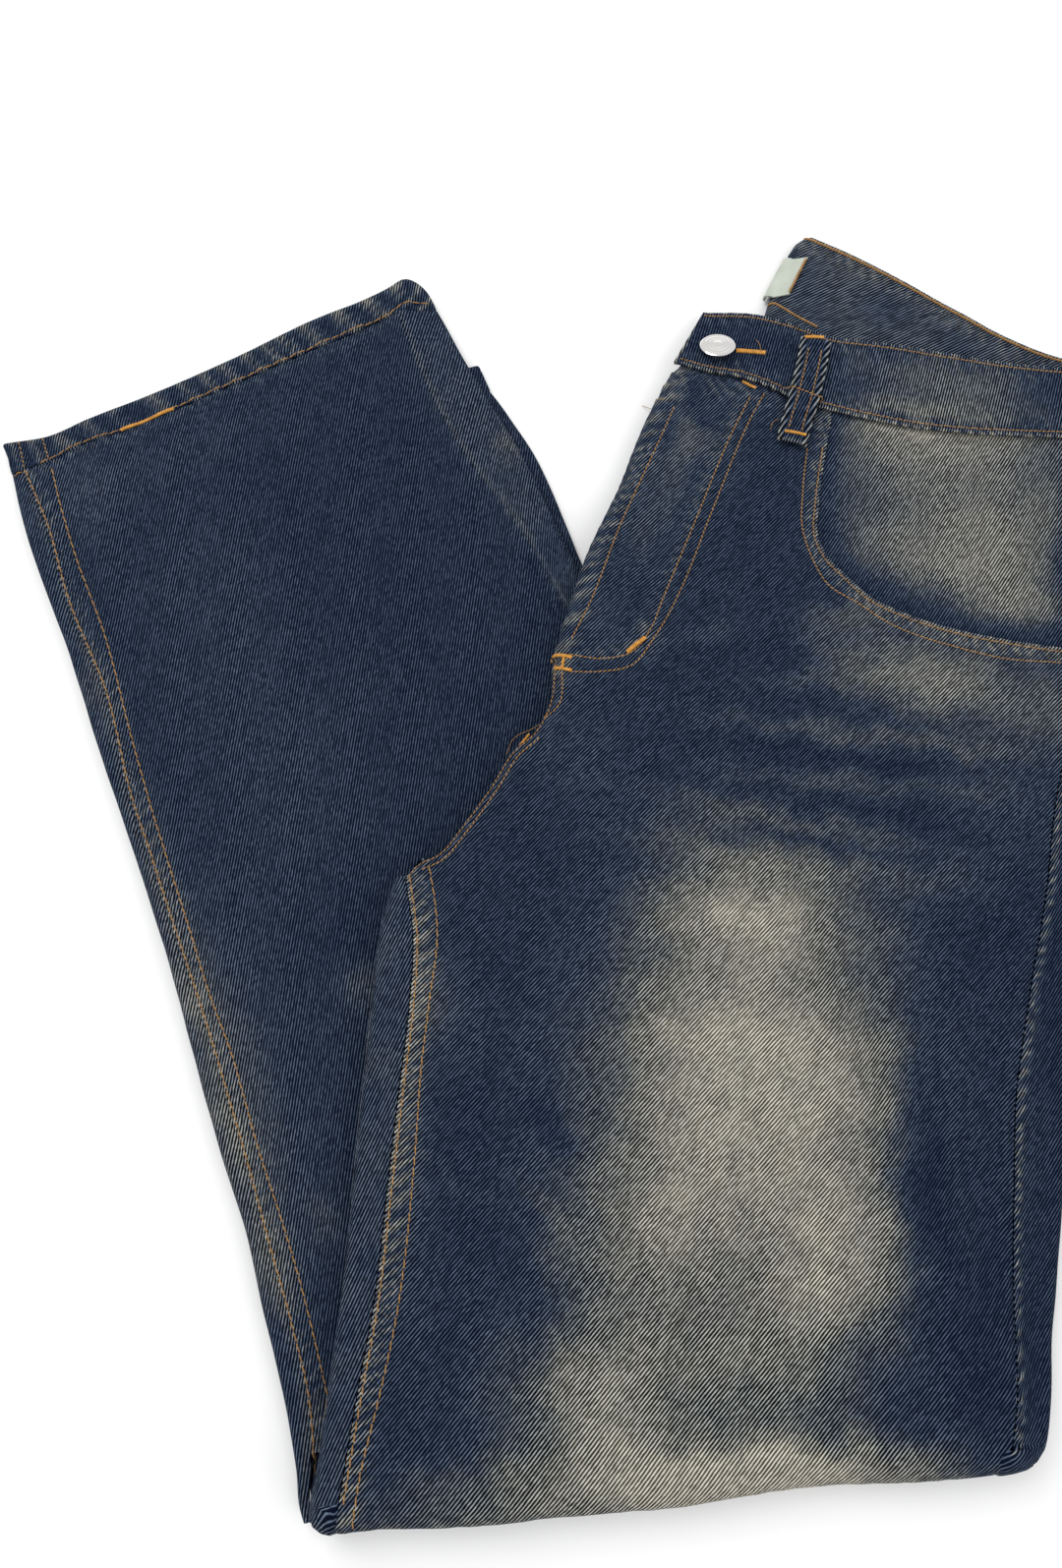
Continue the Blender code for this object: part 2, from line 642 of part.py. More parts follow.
def right_back_lower_side():
    count = 17
    seam = spaced(smooth_line(SHIN_SIDE_SEAM, 5), count)
    seam[:, 0] += 0.5
    edge = spaced(smooth_line(SHIN_SIDE_EDGE, 5), count)
    inner = moved_in(edge, -SHIN_RADIUS)
    shape = (seam, edge, inner, shin_top(edge) - 0.2, shin_floor(edge))
    return folded_side(*shape, WALL, reach=shin_reach(edge))


def right_hem():
    edge = spaced(smooth_line(HEM_EDGE, 4), 20)
    seam = spaced(smooth_line(HEM_SEAM, 4), 20)
    low = shin_floor(edge)
    return hem_band(edge, seam, low, low + RIGHT_SHIN, HEM_WALL)


def left_hem():
    edge = spaced(smooth_line(LEFT_HEM, 4), 16)
    seam = edge + LEG_WAY * HEM_DEPTH
    return hem_band(edge, seam, np.zeros(16), np.full(16, LEFT_SHIN - 0.2), 1.3)


# ---------------------------------------------------------------- the waist

def waistband_front():
    """The front waistband, round the side fold to the back band's level."""
    seam = moved_in(WAIST_LINE, 0.6)
    top = spaced(smooth_line(BAND_TOP, 4), 20)
    side = spaced(np.array([(264.0, 180.0), (265.5, 196.0), (264.0, 213.6)]), 5)
    outline = joined(seam, side, top[::-1])
    first = int(np.argmin(np.linalg.norm(outline - side[0], axis=1)))
    line = spaced(np.array([(264.0, 170.0), (265.5, 196.0), (264.0, 224.0)]), 9)
    way = np.tile((-1.0, 0.0), (5, 1))

    def surface(places):
        return band_surface(places) - rounded_drop(distance_to(places, line), 4.6, 3.6)

    skirt = (first, first + 4, round_under(way, 4.6, 6.8, 3.0, steps=3))
    return sheet(outline, 17, surface, BAND_WALL, ((line, (0.5, 2.0, 4.8)),), skirt)


def waistband_back():
    """The back waistband's inner face, round the centre back fold."""
    top = spaced(smooth_line(BACK_BAND_TOP, 4), 14)
    fold = spaced(smooth_line(BACK_BAND_FOLD, 4), 7)[::-1]
    under = moved_in(spaced(smooth_line(BAND_TOP[3:], 4), 11), -8.0)
    under = under[(under[:, 0] > 98) & (under[:, 0] < 246)]
    outline = joined(fold, under, np.array([(250.0, 208.0)]), top[::-1])
    way = inward(fold, calm=2)

    def surface(places):
        return back_band_surface(places) - rounded_drop(distance_to(places, fold), 3.6,
                                                        BACK_BAND_HEIGHT / 2)

    skirt = (0, len(fold) - 1, round_under(way, 3.6, 0.0, 6.0, steps=3))
    return sheet(outline, 18, surface, WALL, ((fold, (0.4, 1.6, 3.8)),), skirt)


def belt_loop():
    """A narrow strap over the band, sewn down at its top and below the waist seam."""
    line = smooth_line(BELT_LOOP, 5)
    way = inward(line)
    lift = np.sin(np.linspace(0, math.pi, len(line))) * 0.9
    base = np.maximum(band_surface(line), thigh_top(line))
    base = np.where(np.arange(len(line)) > len(line) - 4, thigh_top(line) + 0.4, base)
    height = base + 0.9 + 1.6 + lift
    columns = [np.column_stack([line + way * side * BELT_LOOP_WIDTH / 2,
                                height - 0.3 * abs(side)]) for side in (-1, -0.5, 0, 0.5, 1)]
    points = np.stack(columns, axis=1).reshape(-1, 3)
    return thickened(points, grid_faces(len(line), 5), 1.6)


def button():
    """A domed jeans button on its post: columns radius, height."""
    profile = [(3.0, 0.0), (3.0, 2.2), (7.6, 2.3), (8.5, 3.0), (8.4, 4.0), (7.4, 4.7),
               (5.6, 5.0), (5.0, 4.8), (2.6, 5.3), (0.8, 5.4)]
    sides = 24
    place = np.array([BUTTON_PLACE])
    base = float(band_surface(place)[0]) + 0.9
    tilt = math.radians(BUTTON_TILT)
    points = []
    for radius, height in profile:
        for k in range(sides):
            angle = 2 * math.pi * k / sides
            across, up = radius * math.sin(angle), height
            points.append((BUTTON_PLACE[0] + radius * math.cos(angle),
                           BUTTON_PLACE[1] + across * math.cos(tilt) + up * math.sin(tilt),
                           base + up * math.cos(tilt) - across * math.sin(tilt)))
    faces = [tuple(range(sides)), tuple(range(len(points) - sides, len(points)))]
    for i in range(len(profile) - 1):
        for k in range(sides):
            j = (k + 1) % sides
            faces.append((i * sides + k, i * sides + j, (i + 1) * sides + j, (i + 1) * sides + k))
    return np.array(points), faces


def label():
    """A bare woven label over the centre back fold."""
    count = 8
    seam = spaced(smooth_line(LABEL_SIDE, 3), count)[::-1]
    fold = spaced(smooth_line(LABEL_FOLD, 3), count)[::-1]
    outer = GAP + LABEL_WALL
    edge = moved_in(fold, -outer, calm=1)
    inner = moved_in(fold, 3.6, calm=1)
    shape = (seam, edge, inner, BACK_BAND_HEIGHT + outer, -outer)
    return folded_side(*shape, LABEL_WALL, end=-30.0, steps=5)


def pocket_facing():
    """The denim behind the front pocket's opening, tucked under the front and the band."""
    opening = moved_in(smooth_line(POCKET_EDGE[1:-1], 10), -9.0, calm=2)
    side = smooth_line([(225, 68), (232, 90), (240, 140), (243.5, 178)], 14)
    waist = moved_in(smooth_line(WAIST_SEAM[5:9], 12), -2.0)
    waist = waist[(waist[:, 0] > 112) & (waist[:, 0] < 240)]
    outline = joined(opening, side, waist[::-1])
    return sheet(outline, 20, facing_surface, WALL)


# ---------------------------------------------------------------- the hidden layers

def thigh_layers():
    """Hip and thigh: two folded legs at the outer side, held in by the cloth elsewhere."""
    parts = [
        ("centre", joined(smooth_line(FLY_EDGE[1:], 17), smooth_line(CROTCH_EDGE[:6], 13))),
        ("centre", np.array([(-60.0, -42.0)])),
        ("inseam", smooth_line([p for p in THIGH_EDGE if -250 < p[1] < -45], 17)),
        ("corner", np.array([(-95.0, -268.0)])),
        ("knee", smooth_line([(-80, -288.5)] + KNEE_EDGE[2:-1], 17)),
        ("corner", np.array([(165.0, -250.0), (171.0, -228.0), (178.0, -204.0)])),
        ("side", smooth_line([p for p in SIDE_EDGE if -170 < p[1] < 145], 17)[::-1]),
        ("waist", np.array([(262.0, 158.0), (262.0, 176.0), (261.0, 192.0)])),
        ("waist", smooth_line([(256, 203), (231, 206), (205, 209), (177, 213.5), (149, 218.5),
                               (122, 223), (106, 229), (92, 235), (80, 238)], 17)),
        ("waist", np.array([(68.0, 237.0), (64.0, 225.0)])),
    ]
    outline = np.concatenate([line for _, line in parts])
    kinds = [kind for kind, line in parts for _ in line]
    on_shin = eased((thigh_floor(outline) - 1.0) / 4.0)
    profile = []
    for level in range(12):
        inset = np.zeros(len(outline))
        height = np.zeros(len(outline))
        for k, kind in enumerate(kinds):
            inset[k], height[k] = layer_point(kind, level, outline[k:k + 1], on_shin[k])
        profile.append((inset, height))
    return slab(outline, profile, 18, thigh_layers_top, 2)


def below_cloth(places):
    """The top of the layers under the leg's cloth, lower where the cloth comes down off the shin."""
    t = np.clip(1 - distance_to(places, SHIN_SIDE_LINE) / BED_REACH, 0, 1)
    return thigh_top(places) - HIDDEN_DEPTH - 9.0 * t * (1 - t)


def thigh_layers_top(places):
    """Just under the cloth of the leg, and under the waistband's face."""
    leg = below_cloth(places)
    band = band_surface(places) - BAND_WALL - 0.8
    share = eased((distance_to(places, WAIST_LINE) + 10) / 8)
    return leg + (np.minimum(leg, band) - leg) * share


def band_layers():
    """The bands that lie under the back waistband."""
    outline = joined(smooth_line([(112, 284), (104, 268), (99, 252), (97, 238), (98, 224)], 12),
                     smooth_line([(110, 216), (180, 200), (246, 192)], 20),
                     smooth_line([(250, 208), (246, 217), (227, 223), (190, 243), (152, 267),
                                  (122, 283)], 16))
    rings = ((9.0, 0.0), (9.0, 2.2), (5.4, 2.3), (4.2, 3.2), (5.4, 4.1))
    along = eased((outline[:, 0] - 112) / 10)
    profile = []
    for inset, height in rings:
        plain = {0.0: 1.0, 2.2: 1.4, 2.3: 1.8, 3.2: 1.2, 4.1: 2.0}[height]
        profile.append((inset + (plain - inset) * along, np.full(len(outline), height)))
    return slab(outline, profile, 40, lambda p: np.full(len(p), 4.1), 4)


def layer_point(kind, level, place, on_shin):
    """Inset and height of one of the twelve rings at one place of the outline."""
    floor = float(thigh_floor(place)[0])
    top = float(thigh_top(place)[0])
    under = float(below_cloth(place)[0])
    lowest = WALL + 0.8
    k = level - 3
    if level < 3:
        start = {"side": 0.8, "inseam": 9.5, "waist": 2.0, "corner": 15.0,
                 "centre": CENTRE_RADIUS + 7.0, "knee": KNEE_RADIUS + 18.0}[kind]
        inset = max(1.0 + 15.0 * on_shin, start)
        if kind in ("knee", "corner"):
            return inset, (0.0, 0.9, lowest)[level]
        rise = lowest if kind == "centre" else 0.8
        return inset, floor * (0.0, 0.4, 1.0)[level] + (0.0, 0.4, rise)[level]
    if kind in ("centre", "knee"):
        clear = 3.2
        radius = CENTRE_RADIUS if kind == "centre" else KNEE_RADIUS
        low = floor if kind == "centre" else 0.0
        angle = math.radians(-52 + 140 * k / 8)
        half = (top - low) / 2 - clear
        if k == 8:
            return radius + 4.5, under
        height = (top + low) / 2 + half * math.sin(angle)
        inset = clear + (radius - clear) * (1 - math.cos(angle))
        return inset, min(height, under - 0.2 * (8 - k))
    if kind == "corner":
        height = lowest + (under - 0.6 - lowest) * (k + 1) / 9
        return (15.0 if height < floor + 1 else 3.0 + k / 3), height
    if kind == "waist":
        inset = (2.0, 1.2, 2.2, 1.2, 1.2, 2.0, 3.0, 4.0, 16.0)[k]
        full = float(thigh_layers_top(place)[0])
        return inset, min(5.6, full) * (k + 1.6) / 9.6 if k < 8 else full
    lower = 0.4 if kind == "side" else 9.2
    ring = (
        (lower + 1.0, floor + 1.0),
        (lower, floor + 2.4),
        (lower + 1.0, floor + 4.0),
        (max(lower, 9.4), floor + RIGHT_THIGH - 0.4),
        (9.6, floor + RIGHT_THIGH + 2.2),
        (4.6, floor + RIGHT_THIGH + 2.7),
        (3.4, floor + RIGHT_THIGH + 3.5),
        (4.8, under - 0.2),
        (8.5, under),
    )
    return ring[k]


def shin_layers():
    """Below the knee: the left leg on the table, with the right leg's hollow filled above it."""
    step = 17.0
    edge = smooth_line(LEFT_SHIN_EDGE[:-1], step)
    side = smooth_line(LEFT_SHIN_SIDE[:-1], step)
    hem = spaced(smooth_line(LEFT_HEM, 4), 14) + LEG_WAY * (HEM_DEPTH + 1.2)
    knee = np.array([(-88.0, -254.0), (0.0, -248.0), (80.0, -239.0), (146.0, -233.0)])
    outline = joined(edge, knee, side[::-1], hem[::-1])
    rings = ((1.2, 0.0), (0.4, 0.9), (0.0, 2.0), (0.6, 3.3), (16.0, LEFT_SHIN - 0.1),
             (17.0, LEFT_SHIN + 1.9), (19.0, LEFT_SHIN + 3.0))
    profile = [(np.full(len(outline), inset), np.full(len(outline), height))
               for inset, height in rings]
    return slab(outline, profile, 60, lambda p: np.full(len(p), LEFT_SHIN + 3.0), 5)


def hidden_layers(material):
    """The thigh's, the shins' and the bands' hidden layers in one solid."""
    whole = add_piece("hidden_layers", thigh_layers(), material)
    for name, shape in (("shin_layers", shin_layers), ("band_layers", band_layers)):
        part = add_piece(name, shape(), material)
        part.hide_render = True
        part.display_type = "WIRE"
        union = whole.modifiers.new(name, "BOOLEAN")
        union.operation = "UNION"
        union.object = part


def main():
    clear_scene()
    indigo = finish("indigo_denim", INDIGO, 0.9)
    faded = finish("faded_denim", FADED, 0.9)
    metal = finish("button_metal", STEEL, 0.3, 1.0)
    woven = finish("label_weave", CREAM, 0.8)
    pieces = (
        ("left_front", left_front, indigo),
        ("left_back_side", left_back_side, indigo),
        ("left_back_inseam", left_back_inseam, indigo),
        ("right_front_edge", right_front_edge, indigo),
        ("right_back_inseam", right_back_inseam, indigo),
        ("right_front_lower", right_front_lower, indigo),
        ("right_back_lower_inseam", right_back_lower_inseam, indigo),
        ("right_back_lower_side", right_back_lower_side, indigo),
        ("right_hem", right_hem, indigo),
        ("left_hem", left_hem, indigo),
        ("waistband_front", waistband_front, indigo),
        ("waistband_back", waistband_back, indigo),
        ("belt_loop", belt_loop, indigo),
        ("button", button, metal),
        ("label", label, woven),
        ("pocket_facing", pocket_facing, faded),
    )
    for name, shape, material in pieces:
        add_piece(name, shape(), material)
    hidden_layers(indigo)


main()
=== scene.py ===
"""Looks for a pair of baggy denim jeans, folded in half with both legs folded under at the knee.

Places are in millimetres on the table: X to the right, Y towards the waist, Z up.
"""

import math
from functools import partial

import bpy
import numpy as np
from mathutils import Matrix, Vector
from mathutils.bvhtree import BVHTree
from mathutils.geometry import delaunay_2d_cdt


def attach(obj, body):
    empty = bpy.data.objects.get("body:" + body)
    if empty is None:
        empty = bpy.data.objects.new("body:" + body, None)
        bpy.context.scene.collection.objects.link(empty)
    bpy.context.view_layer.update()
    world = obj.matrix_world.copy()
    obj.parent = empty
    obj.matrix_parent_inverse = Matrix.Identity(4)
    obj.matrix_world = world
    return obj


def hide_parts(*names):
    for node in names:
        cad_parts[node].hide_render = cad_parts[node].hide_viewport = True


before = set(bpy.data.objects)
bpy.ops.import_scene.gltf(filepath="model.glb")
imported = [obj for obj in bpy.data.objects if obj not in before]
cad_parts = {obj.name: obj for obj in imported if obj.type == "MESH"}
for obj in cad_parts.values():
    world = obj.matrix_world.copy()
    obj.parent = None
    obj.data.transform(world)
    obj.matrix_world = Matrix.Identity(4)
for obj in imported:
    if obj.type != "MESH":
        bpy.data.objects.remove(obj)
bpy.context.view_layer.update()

bl_info = {
    "name": "Folded Baggy Jeans",
    "version": (1, 0, 0),
    "blender": (4, 5, 0),
    "location": "3D View > Sidebar > Jeans",
    "description": "Denim cloth, sewing and fittings for a folded pair of baggy jeans",
    "category": "Object",
}

MM = 0.001
TABLE_CENTRE = (-4.25, 0.35)    # the middle of the outline, which is the origin

# ---------------------------------------------------------------- the part's measures

# Thickness of the cloth in each place, and the space that is left between layers
WALL = 1.2
BAND_WALL = 1.8
HEM_WALL = 1.7
LEFT_HEM_WALL = 1.3
LABEL_WALL = 0.8
LOOP_WALL = 1.6
GAP = 0.4
LAYER_GAP = 0.3
FLUSH = 0.1

# Depth of each leg in the stack, and how the stack rises from the hem and over the shin
RIGHT_THIGH = 5.0
LEFT_THIGH = 8.0
LEFT_SHIN = 4.0
RIGHT_SHIN = 5.2
RAMP_START = 8.0
HEM_RAMP = 36.0
BED_REACH = 34.0
KNEE_LINE_Y = -290.0
KNEE_LOFT = 2.0
KNEE_LOFT_REACH = 90.0

# Roundness of the folded edges, and how far cloth goes on where it is covered
KNEE_RADIUS = 12.0
EDGE_RADIUS = 4.2
CENTRE_RADIUS = 6.0
SHIN_RADIUS = 2.6
BAND_END_RADIUS = 4.6
BAND_END_DROP = 3.6
BACK_BAND_RADIUS = 3.6
TUCK = 12.0
UNDERLAP = 5.0
SIDE_LAP = 14.0
SHIN_LAP = 15.0
WAIST_LAP = 1.8
SEAM_LAP = 0.5

# Seams, hem, waistband, loop and button
FELL_WIDTH = 10.0
FELL_HEIGHT = 0.7
HEM_MIDDLE = np.array((-180.0, 222.0))
LEG_WAY = np.array((0.394, -0.919))
HEM_DEPTH = 13.5
BAND_HEIGHT = 14.2
BAND_DROPS = ((1.5, None, None), (3.5, 92, 150), (2.7, 60, 90))    # amount, from x, to x
BACK_BAND_HEIGHT = 6.4
RIGHT_BAND_HEIGHTS = {"right_band_back_cloth": 1.9, "right_band_front_cloth": 4.1}
BELT_LOOP_WIDTH = 12.0
LOOP_STAND = 2.5
LOOP_ARCH = 0.9
BUTTON_PLACE = (67.0, 226.0)
BUTTON_TILT = 24.0
BUTTON_TURN = 5.0
BUTTON_LIFT = 3.3

# Lengths of the edges, which are split into even columns
SIDE_RUN = 440
INSEAM_RUN = 250
CENTRE_RUN = 300
SHIN_INSEAM_RUN = 480
SHIN_SIDE_RUN = 190
HEM_RUN = 230

# Lines on the table: columns x, y
WAIST_SEAM = [(46, 218), (62, 213), (78, 210), (91, 205), (104, 198), (127, 191),
              (165, 183), (202, 180), (240, 179), (263, 179)]
FLY_EDGE = [(46, 218), (34, 194), (18, 154), (2, 116), (-7, 88), (-12, 70)]
CROTCH_EDGE = [(-12, 70), (-15, 47), (-21, 36), (-30, 28), (-40, 12), (-52, -5),
               (-64, -19), (-71, -22), (-76, -28)]
CENTRE_EDGES = FLY_EDGE[:-1] + CROTCH_EDGE
INSEAM = [(-76, -28), (-72, -55), (-73, -82), (-77, -120), (-81, -160), (-85, -200),
          (-91, -236), (-95, -262), (-97, -275)]
THIGH_EDGE = [(-81, -29), (-87, -50), (-89, -75), (-91, -100), (-94, -135), (-97, -175),
              (-100, -205), (-103, -232), (-107, -262), (-110, -276)]
KNEE_CORNER_LEFT = [(-110, -276), (-111, -285), (-107, -289), (-101, -290)]
KNEE_EDGE = [(-100.5, -290), (-88, -288.5), (-44, -287), (-14, -284), (35, -280), (79, -274),
             (128, -271), (150, -269.5), (163.5, -268)]
KNEE_CORNER_RIGHT = [(164, -268), (175, -267), (182, -263), (185, -254)]
SIDE_SEAM = [(244, 178), (240, 140), (232, 90), (222, 45), (211, 6), (204, -32), (191, -87),
             (184, -120), (180, -160), (176, -200), (171, -236), (168, -253)]
SIDE_EDGE = [(264, 178), (267, 140), (262, 95), (250, 50), (237, 8), (226, -32), (214, -90),
             (204, -148), (197, -194), (192, -220), (188, -242), (185, -254)]
POCKET_EDGE = [(120, 190), (117, 175), (112, 145), (111, 131), (115, 121), (123, 112),
               (133, 102), (148, 94), (171, 86), (194, 81), (219, 77), (229, 76)]
BAND_TOP = [(62, 249), (77, 248), (90, 246), (106, 241), (122, 234), (149, 229),
            (177, 224), (205, 219), (231, 216), (263, 214)]
BACK_BAND_TOP = [(114, 291), (124, 286), (138, 279), (152, 271), (171, 259), (190, 247),
                 (208, 236), (227, 227), (252, 220)]
BACK_BAND_FOLD = [(90, 241), (94, 254), (98, 265), (104, 279), (109, 287), (114, 291)]
HEM_EDGE = [(-273, 181), (-252, 185), (-236, 193), (-206, 206), (-165, 226), (-128, 246),
            (-101, 258), (-92, 263), (-84, 268), (-74, 262), (-69, 253)]
HEM_SEAM = [(-267, 166), (-251, 172), (-235, 181), (-218, 187), (-192, 199), (-163, 213),
            (-128, 230), (-100, 243), (-87, 250), (-78, 251), (-69, 250)]
SHIN_INSEAM = [(-263.5, 166), (-250, 139), (-237, 101), (-216, 55), (-203, 11), (-188, -28),
               (-175, -61), (-163, -93), (-146, -141), (-133, -181), (-122, -214),
               (-114, -243), (-112, -259), (-112.2, -272), (-112.2, -282), (-111.2, -288)]
SHIN_EDGE = [(-269, 164.5), (-256, 127), (-233, 72), (-219, 34), (-198, -19), (-181, -64),
             (-167, -107), (-153, -148), (-142, -177), (-133, -210), (-126, -233),
             (-119.5, -259), (-117.2, -271), (-115.8, -282), (-113.8, -288.5)]
SHIN_SIDE_SEAM = [(-87.5, 251), (-79, 227), (-63, 190), (-47, 164), (-29, 139), (-13, 110),
                  (2, 84)]
SHIN_SIDE_EDGE = [(-67.8, 251), (-54, 223), (-44, 205), (-28, 177), (-4, 125), (10, 96)]
LEFT_SHIN_EDGE = [(-229, 118), (-205, 40), (-171, -70), (-146, -150), (-125, -225), (-112, -280)]
LEFT_SHIN_SIDE = [(-38, 204), (-22, 179), (3, 119), (60, -8), (120, -140), (172, -250)]
LEFT_HEM = [(-239, 138), (-190, 160), (-140, 183), (-90, 206), (-60, 219), (-49, 222)]
BELT_LOOP = [(114, 229), (111, 215), (107, 200), (103, 187), (100, 176)]
LABEL_SIDE = [(104, 258), (109, 268), (114, 278)]
LABEL_FOLD = [(93, 258), (98, 268), (103.5, 278.5)]
RIGHT_THIGH_EDGE = [(-88, -55), (-91, -80), (-93, -105), (-96, -140), (-98, -175),
                    (-100, -205), (-103, -232), (-105.5, -252)]
UNDERSIDE_KNEE = [(-92, -266), (-60, -268), (60, -262), (158, -248)]
UNDERSIDE_WAIST = [(252, 190), (200, 202), (150, 212), (104, 226), (76, 230), (62, 222)]
LEFT_SHIN_CORNER = (-233.5, 125.5)
LEFT_SIDE_CORNER = (-44, 212)
LEFT_SHIN_KNEE = [(-88, -254), (0, -248), (80, -239), (146, -233)]
RIGHT_BAND_FOLD = [(114, 284), (106, 268), (101, 252), (99, 238), (100, 224)]
RIGHT_BAND_LOW = [(110, 216), (180, 200), (246, 192)]
RIGHT_BAND_TOP = [(250, 210), (246, 219), (227, 224.5), (190, 244.5), (152, 268.5), (122, 284.5)]
POCKET_START = (120.6, 194)
POCKET_CORNER = (229, 75)
FACING_SIDE = [(225, 68), (232, 90), (240, 140), (243.5, 178)]
BAND_END = [(264, 180), (265.5, 196), (264, 213.6)]
BAND_END_LINE = [(264, 170), (265.5, 196), (264, 224)]
BACK_BAND_CORNER = (250, 208)

# The knee's corners, where the outer fold turns under: columns x, y of the fold, of the wall
# above it, of the wall below it, and of the seam
LEFT_TURN = [
    (-110.6, -282.0, -105.5, -276.0, -105.0, -275.6, -97.6, -275.4),
    (-109.0, -287.0, -103.6, -277.4, -104.2, -276.6, -97.8, -275.9),
    (-105.5, -289.6, -101.6, -278.4, -103.3, -277.4, -98.0, -276.4),
    (-101.8, -290.3, -99.4, -279.3, -102.3, -278.0, -98.2, -276.9),
    (-97.4, -288.8, -96.9, -279.4, -98.6, -278.2, -97.4, -277.0),
]
RIGHT_TURN = [
    (184.0, -258.5, 179.5, -253.9, 179.5, -253.5, 168.6, -253.6),
    (180.5, -263.5, 176.0, -255.2, 176.0, -254.0, 168.5, -254.1),
    (175.5, -266.5, 172.6, -256.4, 172.0, -255.0, 168.3, -254.7),
    (170.0, -267.8, 169.8, -257.4, 168.8, -255.8, 168.1, -255.3),
    (164.8, -268.4, 167.6, -258.2, 166.0, -256.6, 167.9, -255.9),
    (160.8, -266.6, 164.4, -257.2, 163.2, -256.0, 166.6, -255.6),
]

# The part's largest soft folds: columns x1, y1, x2, y2, half width, height
THIGH_FOLDS = [
    (0, 20, -46, -95, 16, 1.8),
    (-40, -225, 110, -252, 20, -1.8),
    (60, 60, 190, 30, 22, 0.9),
    (20, 150, 60, 190, 14, 0.8),
]
SHIN_FOLDS = [
    (-170, -45, -90, -70, 26, 1.2),
    (-120, 170, -80, 40, 26, 0.8),
]

# ---------------------------------------------------------------- what the looks add

# Finer creases: columns x1, y1, x2, y2, half width, height
THIGH_CREASES = [
    (4, 36, 120, 24, 7, -0.5),
    (10, 14, 150, -4, 9, -0.6),
    (6, 24, 130, 12, 6, 0.5),
    (4, -20, 120, -36, 8, -0.5),
    (-14, -50, 60, -62, 9, 0.4),
    (-30, -247, 100, -266, 9, -0.9),
    (-60, -215, 20, -232, 8, 0.5),
    (60, -230, 170, -236, 12, 0.6),
    (70, 74, 40, 130, 10, 0.4),
    (120, -60, 205, -70, 10, -0.5),
    (53.5, 208, 60, 195, 3, -0.9),
    (61, 190, 58, 186, 4, -0.8),
    (66, 173, 72, 160, 3.5, -0.5),
    (62, 151, 65, 142, 3.5, -0.5),
    (84, 205, 78, 190, 3.5, -0.6),
    (96, 176, 90, 160, 4, -0.5),
]
FACING_CREASES = [
    (150, 160, 172, 120, 8, -0.6),
    (200, 165, 176, 118, 9, -0.5),
    (174, 118, 178, 96, 8, -0.5),
    (130, 150, 140, 120, 7, 0.4),
]
SHIN_CREASES = [
    (-160, -62, -84, -80, 4, 0.7),
    (-200, 60, -150, 100, 14, 0.5),
    (-130, 40, -60, 60, 16, -0.5),
    (-190, -10, -120, 10, 12, -0.4),
    (-150, -120, -110, -100, 10, 0.5),
]

# Stitch lines: columns x, y
INSEAM_STITCH = [(-66, -24), (-63, -41), (-62, -53), (-65, -82), (-68, -110), (-70, -145),
                 (-77, -211), (-83, -239), (-89, -264), (-92, -285)]
SHIN_STITCH = [(-251, 172), (-233, 120), (-219, 87), (-200, 28), (-188, -7), (-172, -49),
               (-162, -77), (-150, -106), (-137, -145), (-127, -171), (-116, -203), (-104, -245)]
POCKET_STITCH = [(108, 175), (105, 153), (104, 135), (108, 120), (115, 107), (127, 99),
                 (145, 87), (170, 78), (193, 72), (219, 70)]
FLY_STITCH = [(46, 196), (40, 182), (20, 137), (4, 94), (-4, 78)]
FLY_CURVE_INNER = [(82, 201), (74, 185), (53, 135), (38, 99), (32, 84), (23, 72), (9, 69), (-5, 71)]
FLY_CURVE_OUTER = [(89, 203), (83, 192), (63, 145), (46, 103), (40, 91), (33, 79), (23, 66),
                   (9, 63), (-5, 63)]
HEM_STITCH = [(-267, 163), (-251, 172), (-235, 181), (-218, 187), (-192, 199), (-163, 213),
              (-128, 230), (-112, 238), (-99, 243.5), (-90, 248), (-86, 253), (-79, 254),
              (-68, 251)]

# Bars of close stitches: columns x1, y1, x2, y2, width of the bar
TACKS = [
    (29, 79, 21, 72, 2.0),
    (-12.5, 71.5, -4, 69.5, 1.7),
    (-11.5, 65, -4, 63.5, 1.6),
    (-7.5, 69, -8.2, 64.5, 1.2),
    (108.5, 229.5, 119.5, 229, 1.5),
    (97, 181, 106.5, 179, 1.5),
    (76.5, 225.2, 90, 224.2, 2.2),
    (79, 209, 85, 206, 1.4),
    (-218, 187.5, -194, 198.5, 1.7),
    (-27, 32, -23, 37, 1.3),
]

# Short rows of stitches, then the sizes that the sewing and its grooves have
CROTCH_STITCH = [(-8, 63), (-10, 47), (-16, 42)]
HEM_CORNER_STITCHES = [[(-263, 168), (-267, 182)], [(-252, 173), (-256, 184)]]
BACK_BAND_STITCH = [(90, 251), (95, 254), (101, 251), (107, 247), (117, 241)]
LABEL_STITCH = [(113, 277), (104, 259)]
THIGH_STITCH_LINES = (INSEAM_STITCH, POCKET_STITCH, FLY_STITCH, FLY_CURVE_INNER, FLY_CURVE_OUTER)
STITCH_GROOVE = (1.1, 0.35)             # half width, depth
CLOSE_STITCH = (1.3, 1.7, 1.1)          # from stitch to stitch, length, thickness
STITCH_LEAN = 0.2
TACK_STEP = 0.5
TACK_LEAN = 0.25
TACK_LIFT = 0.25
TACK_RADIUS = 0.36
LOOSE_RADIUS = 0.16
THREAD_SIDES = 6
RAY_HEIGHT = 0.1                        # in metres, above all the cloth

# One stitch from end to end: columns place along it, share of its radius, rise in radii
STITCH_RINGS = ((0.0, 0.55, -0.30), (0.18, 1.0, 0.35), (0.5, 1.0, 0.55), (0.82, 1.0, 0.35),
                (1.0, 0.55, -0.30))

